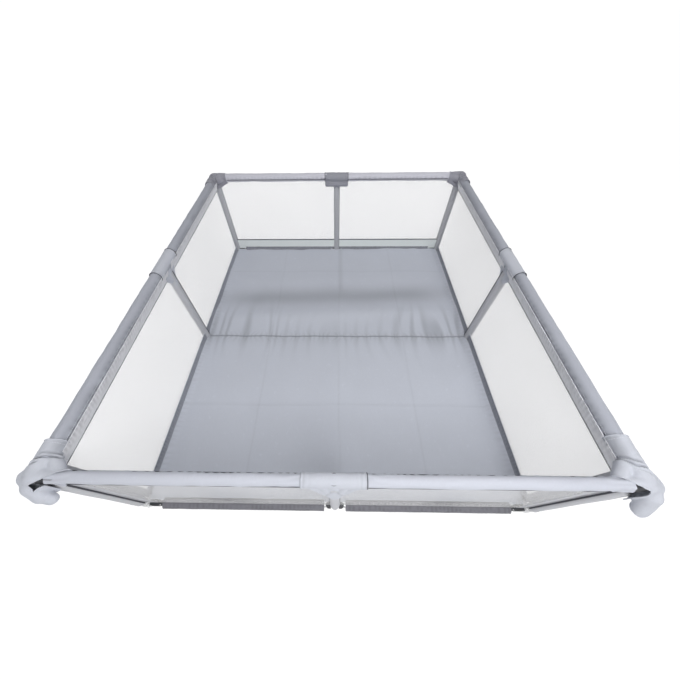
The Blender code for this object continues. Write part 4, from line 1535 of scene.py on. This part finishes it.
@dataclass
class MeshWalls:
    """The eight net walls with their borders, bands and pipings."""

    pen: PenFrame
    stitches: StitchRows
    net_thickness: float = 0.0008
    border_width: float = 0.066
    side_band: float = 0.050
    end_band: float = 0.088
    middle_gap: float = 0.0222
    band_thickness: float = 0.0012

    def panel(
        self,
        name: str,
        start: Array,
        end: Array,
        low: float,
        high: float,
        inward: Array,
        offset: float,
        thickness: float,
        finish: Finish,
        ripple: float,
        bow: float = 0.0,
        lean: float = 0.0,
    ) -> bpy.types.Object:
        """Make a cloth panel of a wall, standing between two heights.

        Args:
            name: The piece's name.
            start: One lower end, on the wall's middle plane.
            end: The other end.
            low: Its lower edge.
            high: Its upper edge.
            inward: The level direction to the pen's inside.
            offset: How far inside the wall's middle plane it stands.
            thickness: The cloth's thickness.
            finish: Its finish.
            ripple: Height of the puckers along its upper edge.
            bow: How far its middle bows inwards.
            lean: How much further inside its upper edge stands.

        Returns:
            The finished piece.
        """
        length = float(np.linalg.norm(end - start))
        direction = (end - start) / length
        along = spaced(0.0, length, 0.008 if ripple else 0.02)
        up = spaced(low, high, 0.008 if ripple else 0.02)
        middle = start + along[:, None, None] * direction + inward * offset
        middle = middle + (up - start[2])[None, :, None] * UP
        part = (up - low) / (high - low)
        phase = 2.5 * cloud(middle, 0.05, 61)
        wave = np.sin(FULL_TURN * along[:, None] / 0.017 + phase)
        edge = bell(part - 1.0, 0.7) if ripple else np.zeros(len(up))
        belly = np.sin(math.pi * np.clip(along / length, 0, 1))[:, None] * np.sin(math.pi * part)[None]
        crinkle = cloud(middle * (1.0, 1.0, 1.4), 0.012, 62) if ripple else 0.0
        change = ripple * (wave * edge[None] + 0.7 * crinkle) + bow * belly + lean * part[None]
        middle = middle + change[..., None] * inward
        # Painted shade in the puckers and crinkles along the upper edge.
        painted_shade = np.clip(0.45 - 0.5 * wave - 0.8 * crinkle, 0.0, 1.0) * edge[None] * (0.7 if ripple else 0.0)
        sheet = sheet_piece(name, middle, inward, thickness, painted_shade)
        piece = finish_piece(sheet, finish, self.slot_of(finish))
        cut = (round(length, 4), round(high - low, 4))
        return piece

    @staticmethod
    def slot_of(finish: Finish) -> str:
        """Name the record's slot of a panel's finish."""
        return "mesh_cloth" if finish is Finish.NET else "cover_cloth"

    def piping(self, name: str, start: Array, end: Array, radius: float, finish: Finish, body: str) -> None:
        """Make a straight piping cord along a wall."""
        cord = rod_piece(name, straight_path(start, end, 0.03), radius, 7)
        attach(finish_piece(cord, finish, "cover_cloth"), body)

    def side_half(self, corner: Corner) -> None:
        """Make the net, border and lower band between a corner leg and the side's middle leg."""
        pen = self.pen
        name = f"{corner.side}_{corner.end}"
        inward = np.array([corner.way_x, 0.0, 0.0])
        low, high = pen.low_z + pen.low_radius + 0.001, pen.rail_z - pen.rail_radius + 0.001
        start = np.array(corner.place(0.048, 0.0, 0.0))
        end = np.array([corner.x, math.copysign(0.0205, corner.y), 0.0])
        net = self.panel(
            f"{name}_net", start, end, low, high, inward, 0.0, self.net_thickness, Finish.NET, 0.0, 0.004
        )
        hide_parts(f"{name}_mesh")
        rail_edge = pen.rail_z - 0.003
        border = self.panel(
            f"{name}_border", start, end, rail_edge - self.border_width, rail_edge, inward, 0.0022,
            self.band_thickness, Finish.BORDER, 0.0009, lean=0.0255,
        )
        band = self.panel(
            f"{name}_lower_band", start, end, low - 0.004, low + self.side_band, inward, 0.0085,
            self.band_thickness, Finish.GATHER, 0.0013,
        )
        for piece in (net, border, band):
            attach(piece, corner.wall)
        edge = inward * 0.0030 + UP * (rail_edge - self.border_width)
        self.piping(f"{name}_border_piping", start + edge, end + edge, 0.0013, Finish.DARK_CORD, corner.wall)
        top = inward * 0.0090 + UP * (low + self.side_band)
        self.piping(f"{name}_band_piping", start + top, end + top, 0.0017, Finish.PALE_CORD, corner.wall)
        row = inward * 0.0050 + UP * (rail_edge - self.border_width + 0.005)
        self.stitches.add(corner.wall, straight_path(start + row, end + row, 0.02))

    def end_half(self, corner: Corner) -> None:
        """Make the net and lower band of a front or back half wall."""
        pen = self.pen
        name = f"{corner.end}_{corner.side}"
        inward = np.array([0.0, corner.way_y, 0.0])
        low, high = pen.low_z + pen.low_radius + 0.001, pen.rail_z - pen.rail_radius + 0.001
        start = np.array([math.copysign(pen.half_sleeve[1], corner.x), corner.y, 0.0])
        end = np.array([math.copysign(self.middle_gap, corner.x), corner.y, 0.0])
        net = self.panel(
            f"{name}_net", start, end, low, high, inward, 0.0, self.net_thickness, Finish.NET, 0.0, 0.002
        )
        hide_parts(f"{name}_mesh")
        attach(net, corner.half)
        if corner.end == "front":
            return
        cloth = self.band_thickness
        high = low + self.end_band
        band = self.panel(
            f"{name}_lower_band", start, end, low, high, inward, 0.0045, cloth, Finish.BAND, 0.0
        )
        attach(band, corner.half)
        bottom, top = low - 0.004, low + 0.018
        gather = self.panel(
            f"{name}_floor_band", start, end, bottom, top, inward, 0.0066, cloth, Finish.GATHER, 0.0009
        )
        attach(gather, corner.half)
        top = inward * 0.0055 + UP * (low + self.end_band)
        self.piping(f"{name}_band_piping", start + top, end + top, 0.0034, Finish.DARK_CORD, corner.half)
        row = inward * 0.0057 + UP * (low + self.end_band - 0.006)
        self.stitches.add(corner.half, straight_path(start + row, end + row, 0.02))

    def build(self) -> None:
        """Make the walls."""
        for corner in self.pen.corners():
            self.side_half(corner)
            self.end_half(corner)


# ---------------------------------------------------------------- bottom rails


@dataclass
class BottomRails:
    """The cloth sleeves over the bottom tubes, the corner collars and the guards of the feet's hinges."""

    pen: PenFrame
    radius: float = 0.0165
    end_radius: float = 0.0235
    flatness: float = 0.80
    bore: float = 0.0104
    grain: float = 0.009
    around: int = 28
    collar_from: float = 0.068
    collar_length: float = 0.012
    lug_radius: float = 0.0128
    lug_thickness: float = 0.0026

    def sleeve(self, name: str, start: Array, end: Array, body: str, radius: float) -> None:
        """Make a sleeve round a bottom tube, flatter than it is wide."""
        length = float(np.linalg.norm(end - start))
        direction = (end - start) / length
        side = np.cross(direction, UP)
        places = spaced(0.0, length, self.grain)
        turn = np.linspace(0.0, FULL_TURN, self.around, endpoint=False)
        out = np.cos(turn)[:, None] * UP + np.sin(turn)[:, None] * side
        centre = start + places[:, None] * direction
        size = radius / np.sqrt(np.sin(turn) ** 2 + (np.cos(turn) / self.flatness) ** 2)
        base = centre[:, None] + out[None] * size[None, :, None]
        ripple = 0.0008 * np.sin(FULL_TURN * places[:, None] / 0.019 + 3.0 * cloud(base, 0.04, 71))
        change = 0.0008 * cloud(base, 0.05, 72) + ripple * bell(np.cos(turn)[None] - 1.0, 0.9)
        outer = centre[:, None] + out[None] * (size[None] + change)[..., None]
        inner = centre[:, None] + out[None] * self.bore
        uvs_around = np.linspace(0.0, FULL_TURN * radius, self.around + 1)
        uvs = np.stack(np.meshgrid(places, uvs_around, indexing="ij"), -1)
        # Painted shade in the hollows of the ripples along the top.
        piece = ring_piece(name, outer, inner, uvs, np.clip(-ripple * 700.0, 0.0, 0.7))
        finish = Finish.LOW if name.startswith("front") else Finish.LOW_SIDE
        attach(finish_piece(piece, finish, "padded_cloth"), body)

    def collar(self, corner: Corner) -> None:
        """Make the dark moulded collar on the bottom tube beside a corner's foot."""
        pen = self.pen
        first_half = ((0.0, 0.0112), (0.002, 0.0128), (0.006, 0.0136))
        profile = first_half + ((0.008, 0.0122), (0.011, 0.0122), (0.012, 0.0108))
        places = np.array([p for p, _ in profile])
        sizes = np.array([r for _, r in profile])
        turn = np.linspace(0.0, FULL_TURN, 28, endpoint=False)
        out = np.cos(turn)[:, None] * UP + np.sin(turn)[:, None] * np.array([0.0, 1.0, 0.0])
        start = np.array(corner.place(0.0, self.collar_from, pen.low_z))
        centre = start + places[:, None] * np.array([corner.way_x, 0.0, 0.0])
        outer = centre[:, None] + out[None] * sizes[:, None, None]
        inner = centre[:, None] + out[None] * (pen.low_radius + 0.0004)
        uvs = np.stack(np.meshgrid(places, np.linspace(0.0, 0.08, 29), indexing="ij"), -1)
        flat = np.zeros((len(places), 28))
        piece = ring_piece(f"{corner.end}_{corner.side}_collar", outer, inner, uvs, flat)
        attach(finish_piece(piece, Finish.JOINT, "joint_plastic"), corner.half)

    def lugs(self, name: str, root: float, pin: float, y: float, body: str) -> None:
        """Make the dark moulded guards over and under a foot's hinge plates."""
        pen = self.pen
        way = math.copysign(1.0, pin - root)
        turn = np.linspace(-0.5 * math.pi, 0.5 * math.pi, 15)
        tip = np.stack([pin + way * self.lug_radius * np.cos(turn), y + self.lug_radius * np.sin(turn)], -1)
        near = root + way * (pen.foot_radius + 0.0006)
        outline = np.concatenate([[[near, y - self.lug_radius]], tip, [[near, y + self.lug_radius]]])
        for level, sign in (("upper", 1.0), ("lower", -1.0)):
            low = pen.low_z + sign * (pen.lug_top - pen.low_z + 0.0004)
            work = bmesh.new()
            base = [work.verts.new((px, py, low)) for px, py in outline]
            face = work.faces.new(base)
            raised = bmesh.ops.extrude_face_region(work, geom=[face])["geom"]
            moved = [v for v in raised if isinstance(v, bmesh.types.BMVert)]
            bmesh.ops.translate(work, verts=moved, vec=(0.0, 0.0, sign * self.lug_thickness))
            rim = [e for e in work.edges if all(abs(v.co.z - low) > 0.001 for v in e.verts)]
            bmesh.ops.bevel(work, geom=rim, offset=0.0010, segments=3, affect="EDGES", profile=0.6)
            bmesh.ops.recalc_face_normals(work, faces=work.faces)
            mesh = bpy.data.meshes.new(f"{name}_{level}_lug")
            work.to_mesh(mesh)
            work.free()
            mesh.shade_smooth()
            mesh.set_sharp_from_angle(angle=math.radians(40.0))
            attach(finish_piece(as_object(mesh.name, mesh), Finish.JOINT, "joint_plastic"), body)

    def build(self) -> None:
        """Make all bottom sleeves, the front ones' piping, the collars and the lug guards."""
        pen = self.pen
        for side, sign in (("left", -1.0), ("right", 1.0)):
            for end, way in (("front", -1.0), ("back", 1.0)):
                start = np.array([sign * pen.rail_x, way * 0.026, pen.low_z])
                finish = np.array([sign * pen.rail_x, way * (pen.rail_y - 0.030), pen.low_z])
                self.sleeve(f"{side}_{end}_bottom_cover", start, finish, f"{side}_wall", self.radius)
        for side, way in (("left", -1.0), ("right", 1.0)):
            for end, depth in (("front", -pen.rail_y), ("back", pen.rail_y)):
                self.lugs(f"{end}_{side}_middle", way * 1e-6, way * pen.middle_pin, depth, f"{end}_centre")
        for corner in pen.corners():
            first = np.array(corner.place(0.0, self.collar_from + self.collar_length + 0.001, pen.low_z))
            last = np.array([math.copysign(pen.half_sleeve[0] + 0.001, corner.x), corner.y, pen.low_z])
            name = f"{corner.end}_{corner.side}_bottom_cover"
            self.sleeve(name, first, last, corner.half, self.end_radius)
            self.collar(corner)
            pin = math.copysign(pen.rail_x - pen.corner_pin, corner.x)
            self.lugs(f"{corner.side}_{corner.end}", corner.x, pin, corner.y, corner.wall)
            if corner.end == "back":
                continue
            inside = np.array([0.0, corner.way_y, 0.0])
            lift = UP * (self.end_radius * 0.62) + inside * self.end_radius * 0.74
            path = straight_path(first + lift, last + lift, 0.03)
            cord = rod_piece(f"{corner.end}_{corner.side}_bottom_piping", path, 0.0026, 7)
            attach(finish_piece(cord, Finish.DARK_CORD, "cover_cloth"), corner.half)


# ---------------------------------------------------------------- floor


@dataclass
class FloorCloth:
    """The cloth floor: cross seam, soft valley, wrinkles, fold creases and gathered edges."""

    pen: PenFrame
    grain: float = 0.0085
    thickness: float = 0.0016
    keep: float = 0.09
    ridge_y: float = 0.200
    valley_y: float = 0.385
    roll_y: float = 0.560

    def height(self, x: Array, y: Array) -> tuple[Array, Array]:
        """Give the cloth's height over its resting level, and how much painted shade each point gets."""
        pen = self.pen
        place = np.stack([x, y, np.zeros_like(x)], -1)
        edge_x = pen.floor_x - np.abs(x)
        edge_y = pen.floor_y - np.abs(y)
        far = ease(y, 0.02, 0.10)
        slope = 0.030 * x
        ridge = 0.0150 * bell(y - self.ridge_y - slope + 0.012 * cloud(place, 0.3, 81), 0.070)
        valley = -0.0080 * bell(y - self.valley_y - slope + 0.02 * cloud(place, 0.35, 82), 0.080)
        roll = 0.0080 * bell(y - self.roll_y - slope, 0.10)
        middle = 1.0 - ease(np.abs(x), 0.55, 0.85)
        height = far * (ridge + valley + roll) * (0.35 + 0.65 * middle)
        seam = bell(y, 0.0042)
        tug = bell(y, 0.12)
        line = np.sin(FULL_TURN * x / 0.095 + 5.0 * cloud(place * (1.0, 0.25, 1.0), 0.12, 83))
        tug_lines = 0.0010 * line * tug
        fine = np.sin(FULL_TURN * x / 0.034 + 6.0 * cloud(place, 0.06, 84)) * bell(y, 0.05)
        stretched = place * np.array([1.0, 0.45, 1.0])
        slack = 0.0022 * cloud(stretched, 0.16, 85) + 0.0010 * cloud(stretched, 0.06, 86)
        bent = stretched + 0.05 * cloud(place, 0.3, 88)[..., None]
        ridged = 0.0020 * (1.0 - np.abs(cloud(bent, 0.21, 87))) ** 4
        fold = np.zeros_like(x)
        for across in (-0.485, 0.655):
            fold += bell(y - across - 0.003 * cloud(place, 0.2, 89), 0.005)
        for along in (-0.43, 0.02, 0.44):
            fold += 0.7 * bell(x - along - 0.004 * cloud(place, 0.25, 90), 0.005)
        gather = bell(edge_x, 0.030) * np.sin(FULL_TURN * y / 0.026 + 3.0 * cloud(place, 0.05, 91))
        height = height + 1.6 * tug_lines + 0.0006 * fine + 1.3 * slack
        height = height + 1.5 * ridged + 0.0016 * fold + 0.0011 * gather
        height = height - 0.0024 * seam + 0.012 * bell(edge_x, 0.022) + 0.006 * bell(edge_y, 0.018)
        # Painted shade: in the sunk seam, the gathers, the tug lines and the fold creases, along the valley
        # behind the ridge, on one line near the middle of the back half, and in a band just in front of the
        # seam.
        painted_shade = 1.3 * seam + 0.22 * np.clip(gather, 0.0, 1.0) + 0.20 * np.clip(-line, 0.0, 1.0) * tug
        valley = bell(y - self.valley_y - slope, 0.085)
        painted_shade = painted_shade + 0.62 * far * (0.4 + 0.6 * middle) * valley + 0.16 * fold
        painted_shade = painted_shade + 0.22 * bell(x - 0.035, 0.016) * ease(y, 0.40, 0.50)
        painted_shade = painted_shade + 0.42 * np.clip(-line, 0.0, 1.0) * bell(y - 0.11, 0.13) * ease(np.abs(x), 0.25, 0.60)
        painted_shade = painted_shade + 0.30 * np.clip(-fine, 0.0, 1.0) * bell(y, 0.045) + 0.10 * bell(y + 0.02, 0.05)
        return height, painted_shade

    def build(self) -> None:
        """Make the floor cloth with its sunk seam."""
        pen = self.pen
        margin = 0.002
        xs = spaced(-pen.floor_x + margin, pen.floor_x - margin, self.grain)
        ys = spaced(-pen.floor_y + margin, pen.floor_y - margin, self.grain)
        fine = np.array([-0.0080, -0.0050, -0.0030, -0.0015, 0.0, 0.0015, 0.0030, 0.0050, 0.0080])
        ys = np.concatenate([ys[np.abs(ys) > 0.0100], fine])
        ys.sort()
        x, y = np.meshgrid(xs, ys, indexing="ij")
        height, painted_shade = self.height(x, y)
        clear = np.ones_like(x)
        feet = [(fx * pen.rail_x, fy * pen.rail_y) for fx in (-1, 0, 1) for fy in (-1, 0, 1) if fx or fy]
        for foot_x, foot_y in feet:
            clear = np.minimum(clear, ease(np.hypot(x - foot_x, y - foot_y), 0.02, 0.06))
        middle = np.stack([x, y, pen.floor_z + 0.0035 + height * (0.4 + 0.6 * clear)], -1)
        for foot_x, foot_y in feet:
            self.step_back(middle, foot_x, foot_y)
        sheet = sheet_piece("floor_cloth", middle, UP, self.thickness, painted_shade)
        piece = finish_piece(sheet, Finish.FLOOR, "floor_cloth")
        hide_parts("floor_sheet")
        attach(piece, "left_wall")
        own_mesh(piece)

    @staticmethod
    def step_back(middle: Array, foot_x: float, foot_y: float) -> None:
        """Draw the cloth back from a foot, as its notch does."""
        away = middle[..., :2] - np.array([foot_x, foot_y])
        gap = np.linalg.norm(away, axis=-1)
        room = 0.0205
        near = gap < room
        push = np.where(near, room / np.maximum(gap, 1e-6), 1.0)
        middle[..., 0] = foot_x + away[..., 0] * push
        middle[..., 1] = foot_y + away[..., 1] * push


# ---------------------------------------------------------------- hard parts


@dataclass
class HardParts:
    """The tubes, joints and feet, which keep their shape and get a better surface."""

    nodes: dict = field(default_factory=lambda: frame["nodes"])

    def build(self) -> None:
        """Dress each hard node that still shows."""
        for name, node in sorted(self.nodes.items()):
            if name.endswith("_foot"):
                finish, slot = Finish.FOOT, "foot_plastic"
            elif name.endswith(("_joint", "_saddle")):
                finish, slot = Finish.JOINT, "joint_plastic"
            elif name.endswith(("_tube", "_post")):
                finish, slot = Finish.TUBE, "painted_tube"
            else:
                continue
            node.data.materials.clear()
            node.data.materials.append(finish.material())
            LOG.info("%s: dressed as %s", name, finish.name)


# ---------------------------------------------------------------- studio


@dataclass
class Studio:
    """A plain pale floor, soft lights and the camera."""

    camera_place: tuple[float, float, float] = (0.0075, -1.1201, 1.507)
    camera_down: float = 52.796
    camera_turn: float = 1.690
    camera_roll: float = -1.146
    lens: float = 14.70
    shift: tuple[float, float] = (0.01157, -0.00609)
    floor_half: float = 600.0
    backdrop_radius: float = 80.0
    backdrop_height: float = 90.0
    backdrop_top: float = 110.0
    backdrop_sides: int = 48
    sky: float = 0.20

    def floor(self) -> None:
        """Make the studio floor."""
        mesh = bpy.data.meshes.new("studio_floor")
        signs = ((-1, -1), (1, -1), (1, 1), (-1, 1))
        corners = [(x * self.floor_half, y * self.floor_half, 0.0) for x, y in signs]
        mesh.from_pydata(corners, [], [(0, 1, 2, 3)])
        floor = as_object("studio_floor", mesh)
        graph = Graph("studio_floor")
        tone = graph.patches(3.0, 2.0)
        colour = graph.mix(tone, (0.085, 0.085, 0.085, 1.0), (0.095, 0.095, 0.095, 1.0))
        glow = {"Emission Strength": 0.99, "Emission Color": WHITE}
        mesh.materials.append(graph.dress(glow | {"Base Color": colour, "Roughness": 0.9}))
        self.backdrop()

    def backdrop(self) -> None:
        """Make the pale backdrop far behind the floor, which lets the light of the sky through."""
        sides = self.backdrop_sides
        turn = np.linspace(0.0, FULL_TURN, sides, endpoint=False)
        radius = self.backdrop_radius
        ring = np.stack([radius * np.cos(turn), radius * np.sin(turn), np.full(sides, -0.5)], -1)
        top = [[0.0, 0.0, self.backdrop_top]]
        points = np.concatenate([ring, ring + UP * self.backdrop_height, top])
        steps = [(n, (n + 1) % sides) for n in range(sides)]
        faces = [[n, n + sides, after + sides, after] for n, after in steps]
        faces += [[n + sides, 2 * sides, after + sides] for n, after in steps]
        mesh = bpy.data.meshes.new("studio_backdrop")
        mesh.from_pydata(points.tolist(), [], faces)
        backdrop = as_object("studio_backdrop", mesh)
        graph = Graph("studio_backdrop")
        glow = {"Emission Strength": 1.0, "Emission Color": WHITE}
        mesh.materials.append(graph.dress(glow | {"Base Color": BLACK, "Roughness": 1.0}))
        backdrop.visible_diffuse = backdrop.visible_glossy = backdrop.visible_shadow = False

    def light(self, name: str, place: tuple, turn: tuple, size: float, power: float) -> None:
        """Add one soft area light."""
        data = bpy.data.lights.new(name, "AREA")
        data.shape = "SQUARE"
        data.size = size
        data.energy = power
        lamp = bpy.data.objects.new(name, data)
        lamp.location = place
        lamp.rotation_euler = Euler(turn)
        bpy.context.scene.collection.objects.link(lamp)

    def camera(self) -> None:
        """Add the camera."""
        data = bpy.data.cameras.new("camera")
        data.lens = self.lens
        data.sensor_width = 36.0
        data.shift_x, data.shift_y = self.shift
        data.clip_start = 0.01
        cam = bpy.data.objects.new("camera", data)
        cam.location = self.camera_place
        down = Matrix.Rotation(math.radians(90.0 - self.camera_down), 4, "X")
        turn = Matrix.Rotation(math.radians(self.camera_turn), 4, "Z")
        roll = Matrix.Rotation(math.radians(self.camera_roll), 4, "Z")
        cam.rotation_euler = (turn @ down @ roll).to_euler()
        bpy.context.scene.collection.objects.link(cam)
        bpy.context.scene.camera = cam

    def build(self) -> None:
        """Set up the whole studio."""
        self.floor()
        leaning = (math.radians(35.0), 0.0, math.radians(12.0))
        self.light("front_high", (0.5, -1.9, 2.7), leaning, 1.2, 58.0)
        self.light("overhead", (0.2, 0.4, 4.2), (0.0, 0.0, 0.0), 1.8, 40.0)
        scene = bpy.context.scene
        world = bpy.data.worlds.new("studio_world")
        world.use_nodes = True
        back = world.node_tree.nodes["Background"]
        back.inputs["Color"].default_value = WHITE
        back.inputs["Strength"].default_value = self.sky
        scene.world = world
        scene.view_settings.view_transform = "Standard"
        self.camera()


def main() -> None:
    """Build the playpen's looks around its frame."""
    logging.basicConfig(level=logging.INFO, format="%(name)s: %(message)s")
    pen = PenFrame.read()
    stitches = StitchRows()
    Studio().build()
    HardParts().build()
    RailSleeves(pen, stitches).build()
    CornerBoots(pen, stitches).build()
    CentreCovers(pen).build()
    LegSleeves(pen).build()
    MeshWalls(pen, stitches).build()
    BottomRails(pen).build()
    FloorCloth(pen).build()
    stitches.sew()
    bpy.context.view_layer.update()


if __name__ == "__main__":
    main()
